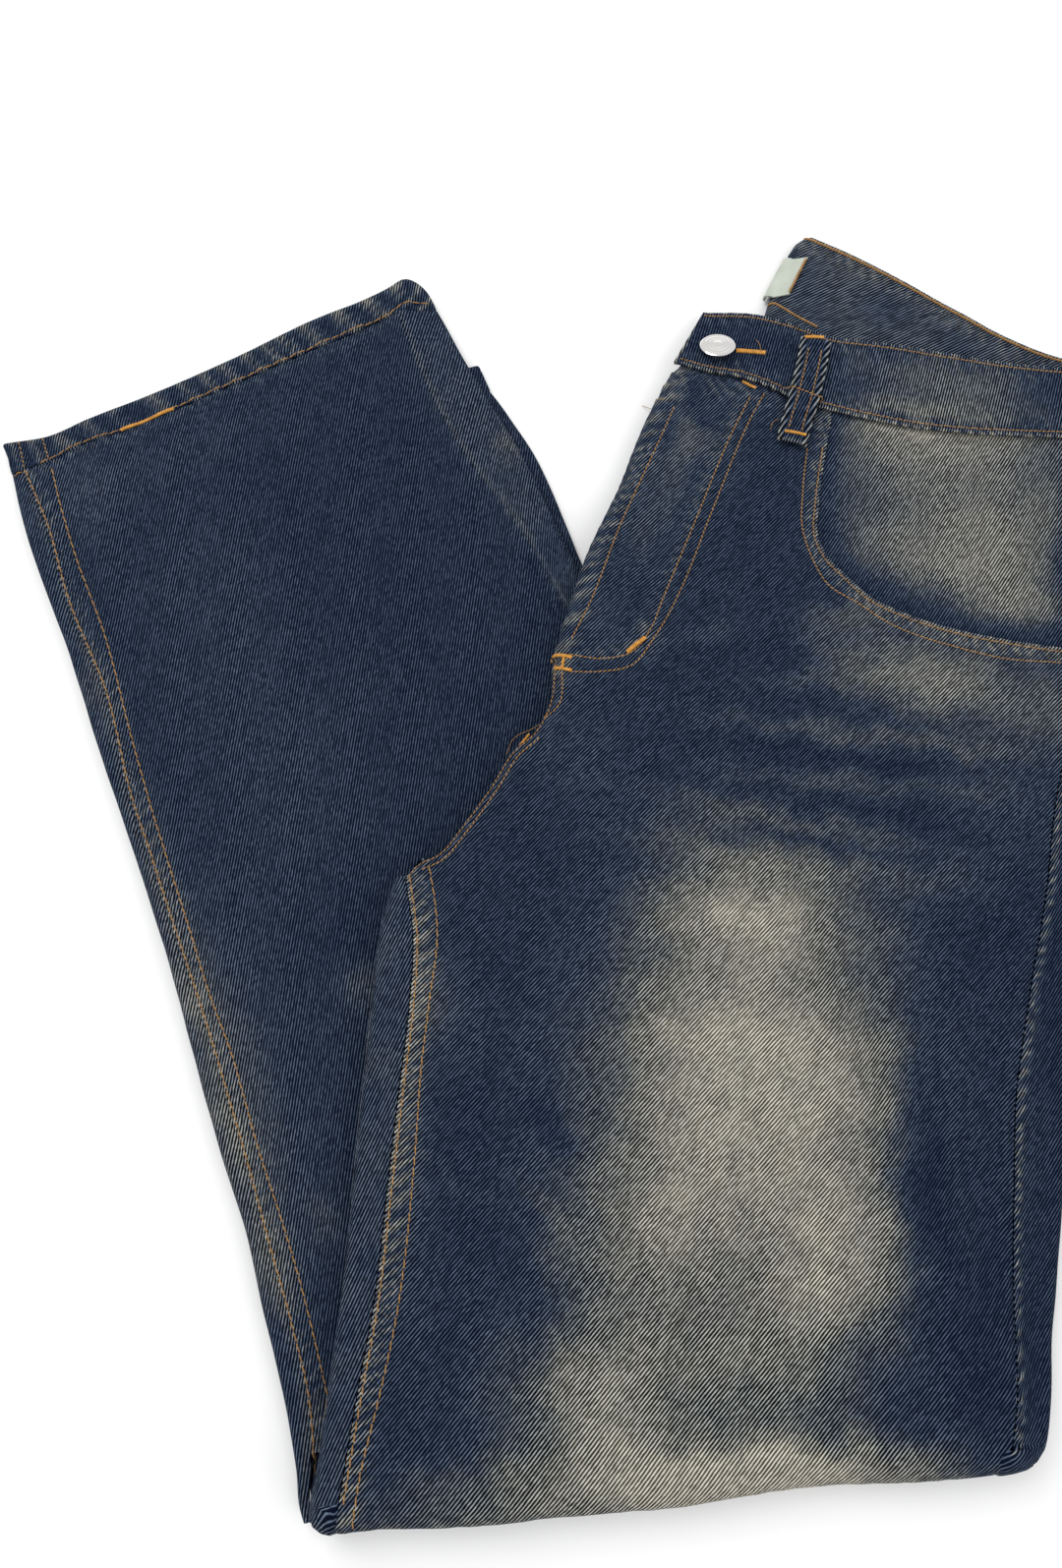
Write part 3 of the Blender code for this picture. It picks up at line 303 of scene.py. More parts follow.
# The button: its cap and post in metres, then its rim: columns step up, share of the width
CAP_SHARE = 0.94
CAP_DEPTH = 0.0004
POST_RADIUS = 0.003
POST_LENGTH = 0.0031
BUTTON_SIDES = 48
BUTTON_RIM = ((0.0002, 1.05), (0.0002, 1.01), (0.0002, 0.97))
# Rings of its face, from the rim inwards, in millimetres: columns step in, step up
BUTTON_RINGS = [
    (0.5, 0.22), (0.9, 0.16), (0.25, -0.12), (0.3, 0.0), (0.25, 0.13), (1.2, 0.12),
    (0.2, -0.10), (0.3, 0.0), (0.2, 0.10), (0.9, 0.06), (0.2, -0.08), (0.3, 0.0), (0.2, 0.08),
]

# Ends of thread that lie loose: points x, y, height above what is under them
LOOSE_THREADS = [
    [(32, 203, 0.3), (35, 201, 1.6), (38, 199.5, 2.2), (41, 199, 1.0)],
    [(88, 224, 1.2), (87, 228, 2.4), (86, 230, 2.0)],
    [(95, 189, 0.4), (92, 187, 1.2), (91, 184, 0.5)],
    [(-15, 44, 0.3), (-21, 40, 0.6), (-30, 35, 0.5), (-33, 28, 0.3)],
]

# Seams that pull the cloth into small waves and are rubbed pale: columns line, step between
# its points, offset from it, length of a wave, half width, height, rub, seed
THIGH_SEAMS = [
    (INSEAM, 4, 4.6, 5.6, 4.4, 0.7, 0.36, 0.3),
    (INSEAM, 4, 0.4, 4.6, 1.5, 0.3, 0.66, 0.3),
    (SIDE_SEAM, 4, -1.0, 6.0, 4.5, 0.5, 0.06, 1.1),
    (POCKET_EDGE, 3, -4.0, 4.2, 2.6, 0.7, 0.34, 2.0),
    (POCKET_EDGE, 3, -0.3, 4.2, 1.0, 0.2, 0.62, 2.0),
    (FLY_CURVE_INNER, 3, -2.2, 4.4, 3.4, 0.7, 0.16, 2.7),
    (FLY_EDGE, 3, 3.8, 7.6, 5.4, 0.4, 0.34, 3.1),
    (WAIST_SEAM, 3, -5.0, 6.5, 8.0, 0.9, 0.16, 4.4),
    (CROTCH_EDGE, 3, 3.0, 4.4, 3.0, 0.5, 0.10, 5.2),
    (KNEE_EDGE, 4, 2.0, 14.0, 3.0, 0.2, 0.18, 6.0),
]
BACK_SIDE_SEAMS = [(SIDE_SEAM, 4, 2.2, 5.4, 2.2, 0.8, 0.40, 0.9)]
SHIN_SEAMS = [
    (SHIN_INSEAM, 4, 4.2, 4.8, 4.0, 0.9, 0.20, 0.6),
    (SHIN_INSEAM, 4, 0.2, 4.8, 1.5, 0.3, 0.40, 0.6),
    (HEM_SEAM, 4, -2.5, 6.0, 3.4, 0.7, 0.16, 1.6),
    (SHIN_SIDE_SEAM, 4, 1.6, 7.0, 2.4, 0.3, 0.20, 2.6),
]
BAND_SEAMS = [
    (WAIST_SEAM, 3, 5.5, 5.0, 5.0, 0.9, 0.14, 0.2),
    (BAND_TOP, 3, -5.0, 5.5, 4.0, 0.7, 0.14, 1.2),
    (WAIST_SEAM, 3, 0.8, 5.0, 1.2, 0.0, 0.70, 0.2),
    (BAND_TOP, 3, -0.4, 5.5, 1.2, 0.0, 0.45, 1.2),
]
BACK_BAND_SEAMS = [
    (BACK_BAND_TOP, 3, -5.5, 6.0, 4.0, 0.9, 0.14, 2.2),
    (BACK_BAND_TOP, 3, -0.4, 5.5, 1.0, 0.0, 0.40, 1.2),
]

# How finely the cloth is meshed, and rows of points beside its lines: distances from them
FINE_STEP = 1.8
ROW_STEP = 0.87         # an even mesh's rows, in spacings
ROW_CLEAR = 0.4         # free of even points beside a line's own rows, in spacings
EDGE_CLEAR = 0.45       # free of even points beside the outline, in spacings
ROW_CELL = 1.2          # rows of two lines share one point in such a cell
EDGE_STEP = 1.9
COARSE_STEP = 9.0
CORNER_ROWS = 32
CORNER_FADE = 14
SEAM_ROWS = (1.2, 2.6, 4.2, 6.0)
STITCH_ROWS = (-1.6, -0.7, 0.0, 0.7, 1.6)
KNEE_ROWS = (0.9, 2.2, 3.8, 5.6, 7.6, 9.8, 12.3)
CENTRE_ROWS = (0.5, 1.3, 2.4, 3.7, 5.2, 6.8)
THIGH_ROWS = (
    (INSEAM, SEAM_ROWS),
    (INSEAM_STITCH, (-3.0, -1.6, -0.7, 0.0, 0.7, 1.6, 3.0)),
    (POCKET_EDGE, (-3.4, -2.2, -1.2)),
    (POCKET_STITCH, STITCH_ROWS),
    (FLY_STITCH, STITCH_ROWS),
    (FLY_CURVE_INNER, (-0.7, 0.0, 0.7)),
    (FLY_CURVE_OUTER, (-0.7, 0.0, 0.7, 1.8)),
)
BAND_END_ROWS = (0.5, 1.2, 2.0, 3.2, 4.8)
BAND_LOW_ROWS = (1.4, 2.4, 3.4, 4.4, 5.6)
BAND_TOP_ROWS = (-5.0, -3.8, -2.6, -1.4, -0.6)
BACK_FOLD_ROWS = (0.4, 1.0, 1.8, 2.8, 3.9)
BACK_TOP_ROWS = (-4.0, -2.8, -1.6, -0.7)

# Wash of the cloth, from 0 for dark to 1 for worn pale, in soft ovals; the thigh's ovals also hold
# painted shade of its folds:
# columns x, y, half width, half length, turn in degrees, amount
THIGH_WASH_AND_SHADE = [
    (82, -115, 58, 84, 0, 0.92),
    (72, -42, 34, 17, -6, 0.36),
    (78, -97, 46, 7, -2, 0.16),
    (108, -182, 26, 30, 10, 0.36),
    (112, -150, 20, 18, 0, -0.12),
    (16, -188, 30, 44, 10, 0.36),
    (4, -247, 28, 19, -20, 0.62),
    (66, -268, 64, 13, 2, 0.70),
    (50, -230, 54, 20, -8, 0.36),
    (-10, -110, 22, 60, 0, 0.07),
    (-36, -240, 16, 40, 0, 0.10),
    (82, -19, 60, 8, -7, 0.24),
    (60, -4, 44, 5, -6, 0.10),
    (108, 62, 30, 4.5, 3, 0.14),
    (125, 36, 72, 5, -7, 0.19),
    (122, 14, 64, 4.5, -4, 0.13),
    (92, -3, 84, 5, -11, 0.15),
    (120, 25, 60, 4, -7, -0.06),
    (110, 5, 50, 4, -9, -0.06),
    (158, 62, 32, 15, -8, 0.36),
    (222, 46, 34, 17, -4, 0.20),
    (120, 74, 20, 9, -25, 0.14),
    (32, 78, 12, 7, 30, 0.12),
    (-10, 62, 9, 8, 0, 0.13),
    (8, 86, 10, 18, 25, 0.08),
    (66, 168, 10, 20, -15, 0.07),
    (-74, -140, 10, 90, 4, 0.10),
    (192, -170, 10, 110, 0, 0.03),
    (110, -80, 28, 30, 0, -0.20),
    (92, -13, 34, 9, -6, -0.18),
    (34, -120, 24, 62, 0, 0.20),
    (141, -140, 12, 54, 0, -0.26),
    (78, -208, 30, 22, 0, 0.26),
    (30, -268, 118, 15, 3, 0.32),
    (172, 72, 48, 40, -20, 0.15),
    (112, 92, 12, 8, 0, 0.12),
    (185, 2, 26, 38, 10, 0.09),
    (-62, -88, 20, 24, 0, 0.10),
    (52, 178, 8, 16, -20, 0.10),
    (42, -170, 24, 26, 0, 0.18),
    (0, -222, 24, 14, 0, 0.13),
    (64, -256, 46, 13, -3, 0.20),
    (92, -200, 16, 14, 0, 0.13),
    (130, 91, 14, 8, 0, 0.18),
    (-71, -68, 11, 26, 0, 0.14),
    (160, -30, 16, 12, 0, 0.13),
    (130, -158, 12, 34, 0, -0.12),
    (60, 84, 12, 5, 20, 0.10),
    (-60, -150, 30, 4, -32, 0.08),
    (-16, -165, 22, 3.5, -45, 0.10),
    (-14, -132, 18, 5, -40, -0.12),
    (180, -100, 14, 80, 0, 0.03),
    (30, -281, 120, 9, 3, 0.22),
    (-20, -268, 20, 12, 0, 0.12),
    (60, 189, 3.5, 3.5, 0, -0.2),
    (56, 202, 2.5, 6, 20, -0.2),
    (67, 166, 4, 8, -20, -0.08),
    (47, 203, 5, 8, 0, 0.10),
    (38, 150, 11, 46, -20, 0.13),
    (56, 186, 10, 14, 0, 0.06),
    (56, -46, 40, 16, -6, 0.10),
    (-4, 25, 20, 20, 0, 0.05),
]
SHIN_WASH = [
    (-165, 70, 40, 90, 22, 0.05),
    (-120, 10, 30, 60, -25, 0.03),
    (-93, -75, 12, 10, 0, 0.08),
    (-175, -60, 14, 60, 22, 0.05),
    (-200, 170, 80, 14, 25, 0.05),
    (-40, 170, 18, 60, 28, 0.05),
    (-146, -130, 20, 84, 18, 0.12),
    (-78, -74, 26, 15, 8, 0.12),
    (-232, 150, 12, 40, 22, 0.06),
    (-171, -80, 9, 14, 20, 0.20),
    (-150, -138, 9, 20, 20, 0.17),
    (-130, -190, 9, 20, 20, 0.15),
    (-109, -170, 10, 16, 10, 0.11),
    (-72, -70, 11, 12, 0, 0.16),
    (-220, 60, 9, 26, 22, 0.10),
    (-30, 182, 9, 12, 0, 0.12),
    (-10, 130, 9, 16, -25, -0.14),
    (-138, -110, 40, 70, 20, 0.06),
    (-104, -255, 12, 16, 0, 0.12),
    (-192, -10, 10, 44, 22, 0.06),
]
FACING_WASH = [
    (176, 180, 54, 13, -3, 0.40),
    (172, 158, 50, 20, -6, 0.36),
    (188, 124, 34, 24, -20, 0.50),
    (212, 146, 24, 20, 0, 0.06),
    (144, 126, 22, 15, -30, 0.30),
    (205, 98, 20, 9, 0, 0.20),
    (228, 110, 8, 26, 0, -0.16),
    (172, 185, 46, 5, -3, 0.34),
    (182, 149, 26, 7, 0, -0.11),
    (176, 115, 22, 10, 0, 0.14),
    (218, 143, 8, 20, 0, 0.12),
    (196, 97, 28, 9, 0, 0.14),
    (178, 187, 44, 5, -3, 0.14),
]
BAND_WASH = [
    (165, 210, 50, 14, -8, 0.20),
    (190, 194, 58, 9, -4, 0.16),
    (150, 196, 20, 6, -12, 0.12),
    (62, 214, 12, 8, 0, 0.06),
    (170, 192, 34, 6, -4, 0.18),
    (182, 209, 30, 7, -6, 0.12),
]

# The slope of the twill's lines, in degrees: columns y, angle
HIP_TWILL = [(230, 44), (60, 45), (-60, 46), (-160, 47), (-290, 51)]
SHIN_TWILL = [(280, 82), (0, 82), (-290, 83)]
STRIP_TWILL = [(200, 63), (-290, 66)]
SIDE_TWILL = [(200, 54), (-290, 54)]
FACING_TWILL = [(200, 57), (60, 55)]
BAND_TWILL = [(300, 73), (150, 73)]
BACK_BAND_TWILL = [(300, 27), (150, 27)]
LOOP_TWILL = [(300, 62), (150, 62)]

# How far the yarns swing the denim's tone, and the tone from which pale yarn shows
TWILL_WANDER = 0.12
FLOAT_CONTRAST = 0.20
SLUB_CONTRAST = 0.12
GRAIN_CONTRAST = 0.34
DARK_LEVEL = 0.82
WASH_LEVEL = 0.22

# Shades that the other finishes are blended with
THREAD_SHADE = (0.05, 0.03, 0.015)
THREAD_SHINE = (0.8, 0.7, 0.5)
LABEL_SOIL = (0.05, 0.06, 0.05)
# painted shade of the button's rim and rings
METAL_SHADE = (0.2, 0.2, 0.2)
METAL_WEAR = (0.78, 0.78, 0.80)
FLOOR_SHADE = (0.8, 0.8, 0.8)
# Tints of the button's face, from its rim inwards: columns share of the radius, tint; the darkest
# paint shade at the rim and in the rings' grooves
METAL_RINGS = [
    (0.0, "painted_shade"), (0.04, "half"), (0.10, "bright"), (0.21, "bright"), (0.245, "painted_shade"),
    (0.28, "bright"), (0.44, "bright"), (0.475, "painted_shade"), (0.51, "bright"), (0.63, "bright"),
    (0.663, "painted_shade"), (0.70, "bright"),
]

# The stage, in metres: lamps have columns name, place, width, share of the key light
LAMPS = (
    ("key_softbox", (-0.7, 0.9, 1.5), 1.1, 1.0),
    ("fill_softbox", (1.1, -0.5, 1.3), 1.4, 0.45),
)
FLOOR_REACH = 4
FLOOR_DROP = 0.0003
CAMERA_PLACE = (-0.01775, -0.08235, 0.530)
CAMERA_TILT = 10.5
CAMERA_LENS = 27.085
SENSOR_HEIGHT = 36
NEAREST_SEEN = 0.01

# What each piece of cloth was cut to: columns name, width and length in millimetres,
# flat area in square centimetres, material slot, what it lies on, what is sewn on it
CUTS = [
    ("left_front_cloth", 345, 520, 1198, "faded_denim", "right_thigh_underside_cloth",
     ("thigh_stitches", "bartacks")),
    ("left_back_side_cloth", 40, 460, 147, "indigo_denim", "right_thigh_side_cloth", ()),
    ("left_back_inseam_cloth", 30, 272, 62.5, "indigo_denim", "right_back_inseam_cloth", ()),
    ("right_front_edge_cloth", 16, 270, 39, "indigo_denim", "right_front_lower_cloth", ()),
    ("right_back_inseam_cloth", 20, 200, 36, "indigo_denim", "right_front_lower_cloth", ()),
    ("right_thigh_side_cloth", 34, 378, 123, "indigo_denim", "", ()),
    ("right_thigh_underside_cloth", 350, 500, 1217, "indigo_denim", "right_front_lower_cloth", ()),
    ("right_front_lower_cloth", 215, 500, 639, "indigo_denim", "left_shin_upper_cloth",
     ("lower_leg_stitches",)),
    ("right_back_lower_inseam_cloth", 60, 495, 105.5, "indigo_denim", "left_shin_upper_cloth", ()),
    ("right_back_lower_side_cloth", 102, 202, 74, "indigo_denim", "left_shin_upper_cloth", ()),
    ("right_hem_cloth", 440, 15.2, 66, "indigo_denim", "left_hem_cloth", ()),
    ("left_shin_upper_cloth", 370, 484, 942, "indigo_denim", "left_shin_underside_cloth", ()),
    ("left_shin_underside_cloth", 370, 484, 942, "indigo_denim", "", ()),
    ("left_shin_inseam_cloth", 36, 430, 147, "indigo_denim", "", ()),
    ("left_shin_side_cloth", 36, 514, 175, "indigo_denim", "", ()),
    ("left_hem_cloth", 410, 15.2, 62, "indigo_denim", "", ()),
    ("pocket_facing_cloth", 132, 128, 140, "faded_denim", "right_thigh_underside_cloth", ()),
    ("waistband_front_cloth", 232, 42, 91, "indigo_denim", "left_front_cloth",
     ("waist_stitches", "loose_threads")),
    ("waistband_back_cloth", 170, 76, 69, "indigo_denim", "right_band_front_cloth",
     ("close_stitches",)),
    ("right_band_front_cloth", 168, 62, 77, "indigo_denim", "right_band_back_cloth", ()),
    ("right_band_back_cloth", 168, 62, 77, "indigo_denim", "", ()),
    ("belt_loop_cloth", 15, 60, 8.9, "indigo_denim", "waistband_front_cloth", ()),
    ("label_tape", 16.5, 23.5, 3.7, "label_weave", "waistband_back_cloth", ()),
]


# ---------------------------------------------------------------- settings

def length(name, description, default):
    return bpy.props.FloatProperty(name=name, description=description, default=default,
                                   min=0, subtype="DISTANCE", unit="LENGTH", precision=5)


def colour(name, description, default):
    return bpy.props.FloatVectorProperty(name=name, description=description, default=default,
                                         size=3, min=0, max=1, subtype="COLOR")


class DenimSettings(bpy.types.PropertyGroup):
    """Sizes and colours of the denim"""
    spacing: length("Mesh spacing", "How far apart the cloth's points are", 0.0026)
    twill: length("Twill spacing", "From one line of the twill to the next", 0.00125)
    relief: length("Twill relief", "How deep the lines of the twill are", 0.00022)
    pucker: length("Pucker height", "How much the seams pull the cloth into small waves", 0.0005)
    dark: colour("Indigo", "Unwashed yarn between the twill's lines", (0.002, 0.005, 0.016))
    dark_half: colour("Half washed indigo", "The same, half washed out", (0.003, 0.004, 0.006))
    dark_worn: colour("Worn grey", "The same, mostly washed out", (0.013, 0.012, 0.010))
    dark_pale: colour("Dark sand", "The same, washed out", (0.055, 0.050, 0.036))
    light: colour("Light indigo", "Unwashed yarn on the twill's lines", (0.063, 0.091, 0.142))
    light_blue: colour("Light blue", "The same, a little washed", (0.124, 0.168, 0.243))
    light_half: colour("Light grey", "The same, half washed out", (0.392, 0.405, 0.392))
    light_pale: colour("Sand", "The same, washed out", (0.610, 0.580, 0.500))


class SewingSettings(bpy.types.PropertyGroup):
    """Sizes and colours of the sewing"""
    stitch: length("Stitch", "Length of one stitch", 0.0017)
    long_stitch: length("Long stitch", "Length of a stitch along the inseam and the hem", 0.0040)
    gap: length("Gap", "Between one stitch and the next", 0.0004)
    thickness: length("Thread", "Thickness of the thread", 0.00062)
    thread: colour("Thread colour", "Ochre thread of the seams", (0.33, 0.170, 0.048))
    tack: colour("Bartack colour", "Orange thread of the bartacks", (0.62, 0.28, 0.035))


class FittingSettings(bpy.types.PropertyGroup):
    """Button and label"""
    button: length("Button", "Width of the button", 0.017)
    metal: colour("Metal", "Colour of the button", (0.80, 0.79, 0.76))
    label: colour("Label", "Colour of the bare label", (0.50, 0.54, 0.47))


class StageSettings(bpy.types.PropertyGroup):
    """Floor and lights"""
    floor: colour("Floor", "Colour of the floor", (0.92, 0.92, 0.92))
    key: bpy.props.FloatProperty(name="Key light", description="Strength of the large soft light",
                                 default=17.0, min=0, unit="POWER")
    sky: bpy.props.FloatProperty(name="Room light", description="Strength of the light all round",
                                 default=0.75, min=0)


# ---------------------------------------------------------------- lines

def smooth_line(table, step):
    """The smooth line through a table's points, as evenly spaced points about step apart."""
    points = np.array(table, float)
    along = np.concatenate([[0], np.cumsum(np.linalg.norm(np.diff(points, axis=0), axis=1))])
    slope = np.gradient(points, along, axis=0)
    fine = np.linspace(0, along[-1], 30 * len(points))
    left = np.clip(np.searchsorted(along, fine, side="right") - 1, 0, len(along) - 2)
    span = (along[left + 1] - along[left])[:, None]
    t = (fine[:, None] - along[left][:, None]) / span
    curve = ((2 * t**3 - 3 * t**2 + 1) * points[left] + (t**3 - 2 * t**2 + t) * span * slope[left]
             + (3 * t**2 - 2 * t**3) * points[left + 1] + (t**3 - t**2) * span * slope[left + 1])
    return spaced(curve, max(2, round(along[-1] / step) + 1))


def spaced(line, count):
    """The same line as count evenly spaced points."""
    along = np.concatenate([[0], np.cumsum(np.linalg.norm(np.diff(line, axis=0), axis=1))])
    even = np.linspace(0, along[-1], count)
    return np.stack([np.interp(even, along, line[:, k]) for k in range(line.shape[1])], axis=1)


def joined(*lines):
    """Lines end to end, without the points that two of them share."""
    kept = [lines[0]]
    for line in lines[1:]:
        shared = np.linalg.norm(line[0] - kept[-1][-1]) < 0.5
        kept.append(line[1:] if shared else line)
    whole = np.concatenate(kept)
    return whole[:-1] if np.linalg.norm(whole[0] - whole[-1]) < 0.5 else whole


def inward(line, calm=1):
    """Unit vectors to the left of the line's direction, evened out over calm neighbours."""
    ahead = np.gradient(line, axis=0)
    normal = np.stack([-ahead[:, 1], ahead[:, 0]], axis=1)
    normal /= np.linalg.norm(normal, axis=1)[:, None]
    total = normal.copy()
    index = np.arange(len(line))
    for shift in range(1, calm):
        total += normal[np.clip(index + shift, 0, len(line) - 1)]
        total += normal[np.clip(index - shift, 0, len(line) - 1)]
    return total / np.linalg.norm(total, axis=1)[:, None]


def moved_in(line, distance, calm=4):
    return line + inward(line, calm) * distance


def between(line, axis, low, high):
    """The part of a line that lies between two values of x (axis 0) or y (axis 1)."""
    return line[(line[:, axis] > low) & (line[:, axis] < high)]


def nearest(places, line):
    """For each place: signed distance to the line, left of it positive, and how far along it."""
    run = np.diff(line, axis=0)
    size = (run**2).sum(1)
    before = np.concatenate([[0], np.cumsum(np.sqrt(size))])
    away = np.empty(len(places))
    along = np.empty(len(places))
    for first in range(0, len(places), 2000):
        part = places[first:first + 2000]
        offset = part[:, None, :] - line[None, :-1]
        t = np.clip((offset * run).sum(2) / size, 0, 1)
        gap = np.linalg.norm(offset - t[..., None] * run, axis=2)
        best = gap.argmin(1)
        row = np.arange(len(part))
        side = (run[best, 0] * offset[row, best, 1] - run[best, 1] * offset[row, best, 0])
        away[first:first + 2000] = gap[row, best] * np.where(side >= 0, 1, -1)
        along[first:first + 2000] = before[best] + t[row, best] * np.sqrt(size[best])
    return away, along


def distance_to(places, line):
    return nearest(places, line)[0]


def distance_inside(places, loop):
    """Distance to a closed loop, positive inside it."""
    x1, y1 = loop[:-1, 0], loop[:-1, 1]
    x2, y2 = loop[1:, 0], loop[1:, 1]
    inside = np.zeros(len(places), bool)
    for first in range(0, len(places), 4000):
        x, y = places[first:first + 4000, 0][:, None], places[first:first + 4000, 1][:, None]
        spans = (y1 > y) != (y2 > y)
        with np.errstate(divide="ignore", invalid="ignore"):
            crossing = spans & (x < (x2 - x1) * (y - y1) / (y2 - y1) + x1)
        inside[first:first + 4000] = crossing.sum(1) % 2 == 1
    return np.where(inside, 1, -1) * np.abs(distance_to(places, loop))


def eased(t):
    t = np.clip(t, 0, 1)
    return t * t * (3 - 2 * t)


def rounded_drop(distance, radius, height):
    """How far a rounded edge has fallen at a distance in from it."""
    t = np.clip(np.abs(distance) / radius, 0, 1)
    return height * (1 - np.sqrt(1 - (1 - t) ** 2))


# ---------------------------------------------------------------- heights

SHIN_SIDE_LINE = smooth_line(LEFT_SHIN_SIDE, 8)
KNEE_LINE = joined(smooth_line(KNEE_CORNER_LEFT, 3), smooth_line(KNEE_EDGE, 8),
                   smooth_line(KNEE_CORNER_RIGHT, 3))
CENTRE_LINE = joined(smooth_line(FLY_EDGE, 8), smooth_line(CROTCH_EDGE, 6))
INSEAM_LINE = smooth_line(INSEAM, 8)
WAIST_LINE = smooth_line(WAIST_SEAM, 6)


def uneven(places, size, seed=0.0):
    """A soft uneven field from -1 to 1 with bumps of about that size."""
    total = np.zeros(len(places))
    for k in range(5):
        turn = seed * 1.7 + k * 2.4
        way = np.array((math.cos(turn), math.sin(turn))) / size * (1.6 + 0.37 * k)
        total += np.sin(places @ way * 2.2 + seed * 3.1 + k * 1.9)
    return total / 5


def fold_height(places, table, rough=0.0):
    """Soft ridges and troughs, each along a line, fading at its ends and sides."""
    total = np.zeros(len(places))
    for row, (x1, y1, x2, y2, half_width, height) in enumerate(table):
        start = np.array((x1, y1), float)
        run = np.array((x2, y2), float) - start
        t = ((places - start) @ run) / (run @ run)
        away = np.linalg.norm(places - start - np.clip(t, 0, 1)[:, None] * run, axis=1)
        beyond = np.clip(np.maximum(-t, t - 1), 0, None)
        width = half_width * (1 + rough * 0.4 * uneven(places, half_width * 3, row))
        strength = 1 + rough * uneven(places, half_width * 2.2, row + 0.5)
        total += (height * strength * np.exp(-((away / width) ** 2))
                  * np.exp(-((beyond * 3) ** 2)))
    return total


def ovals(places, table, wander=5.0):
    """Soft ovals, whose edges wander a little."""
    drift = np.column_stack([uneven(places, 24, 1.0), uneven(places, 20, 2.0)])
    drift += 0.5 * np.column_stack([uneven(places, 9, 3.0), uneven(places, 8, 4.0)])
    moved = places + wander * drift
    total = np.zeros(len(places))
    for x, y, wide, tall, turn, amount in table:
        c, n = math.cos(math.radians(turn)), math.sin(math.radians(turn))
        dx, dy = moved[:, 0] - x, moved[:, 1] - y
        reach = np.hypot((dx * c + dy * n) / wide, (dy * c - dx * n) / tall)
        total += amount * np.exp(-reach ** 2.6)
    return total


def down_leg(places):
    return (places - HEM_MIDDLE) @ LEG_WAY


def shin_floor(places):
    return (LEFT_SHIN + LAYER_GAP) * eased((down_leg(places) - RAMP_START) / HEM_RAMP)


def shin_top(places):
    return shin_floor(places) + RIGHT_SHIN + fold_height(places, SHIN_FOLDS)


def thigh_floor(places):
    inside = -distance_to(places, SHIN_SIDE_LINE)
    return (shin_top(places) + GAP) * eased(inside / BED_REACH + 1)


def thigh_top(places):
    knee = KNEE_LOFT * eased(1.3 - (places[:, 1] - KNEE_LINE_Y) / KNEE_LOFT_REACH)
    return thigh_floor(places) + RIGHT_THIGH + LEFT_THIGH + knee + fold_height(places, THIGH_FOLDS)


def fell_ridge(places):
    t = np.abs(distance_to(places, INSEAM_LINE)) / FELL_WIDTH
    return FELL_HEIGHT * eased((1.15 - t) * 5)


def front_surface(places):
    top = thigh_top(places)
    knee = rounded_drop(distance_to(places, KNEE_LINE), KNEE_RADIUS, top / 2)
    centre_height = (top - thigh_floor(places)) / 2
    centre = rounded_drop(distance_to(places, CENTRE_LINE), CENTRE_RADIUS, centre_height)
    return top + fell_ridge(places) - np.maximum(knee, centre)


def band_surface(places):
    up = np.clip(distance_to(places, WAIST_LINE) / 36, 0, 1.1)
    height = np.full(len(places), BAND_HEIGHT)
    for drop, start, stop in BAND_DROPS:
        share = 1 if start is None else 1 - eased((places[:, 0] - start) / (stop - start))
        height -= drop * share * up
    return height


# ---------------------------------------------------------------- cloth meshes

def grid_faces(rows, columns):
    corner = (np.arange(rows - 1)[:, None] * columns + np.arange(columns - 1)[None]).ravel()
    return [tuple(f) for f in np.stack(
        [corner, corner + 1, corner + columns + 1, corner + columns], axis=1).tolist()]


def filled(outline, spacing, bands=()):
    """Triangles inside a closed outline. bands are (line, distances) with rows of extra points."""
    low = outline.min(0)
    high = outline.max(0)
    inner = []
    for k, y in enumerate(np.arange(low[1], high[1], spacing * ROW_STEP)):
        step = np.arange(low[0] + (k % 2) * spacing / 2, high[0], spacing)
        inner.append(np.stack([step, np.full(len(step), y)], axis=1))
    inner = np.concatenate(inner)
    loop = np.concatenate([outline, outline[:1]])
    inner = inner[distance_inside(inner, loop) > spacing * EDGE_CLEAR]
    rows = np.empty((0, 2))
    for line, distances in bands:
        away = distance_to(inner, line)
        clear = spacing * ROW_CLEAR
        inner = inner[(away < distances[0] - clear) | (away > distances[-1] + clear)]
        extra = np.concatenate([moved_in(line, distance, 2) for distance in distances])
        if len(rows):
            taken = {tuple(p) for p in np.round(rows / ROW_CELL).astype(int).tolist()}
            cells = np.round(extra / ROW_CELL).astype(int).tolist()
            extra = extra[[tuple(cell) not in taken for cell in cells]]
        rows = np.concatenate([rows, extra])
    if len(rows):
        rows = rows[distance_inside(rows, loop) > 0.45]
        inner = np.concatenate([inner, rows])
    places = [tuple(p) for p in np.concatenate([outline, inner]).tolist()]
    found = delaunay_2d_cdt(places, [], [list(range(len(outline)))], 1, 1e-4)
    points = np.array([tuple(p) for p in found[0]])
    order = {}
    for index, sources in enumerate(found[3]):
        for source in sources:
            order[source] = index
    return points, [tuple(f) for f in found[2]], [order[k] for k in range(len(outline))]


def corners_of(faces):
    """The faces as triangles, in one array."""
    made = []
    for face in faces:
        made.append(face[:3])
        if len(face) == 4:
            made.append((face[0], face[2], face[3]))
    return np.array(made)


def normals_of(points, triangles):
    a, b, c = (points[triangles[:, k]] for k in range(3))
    across = np.cross(b - a, c - a)
    normal = np.zeros_like(points)
    for k in range(3):
        np.add.at(normal, triangles[:, k], across)
    return normal / np.maximum(np.linalg.norm(normal, axis=1), 1e-12)[:, None]


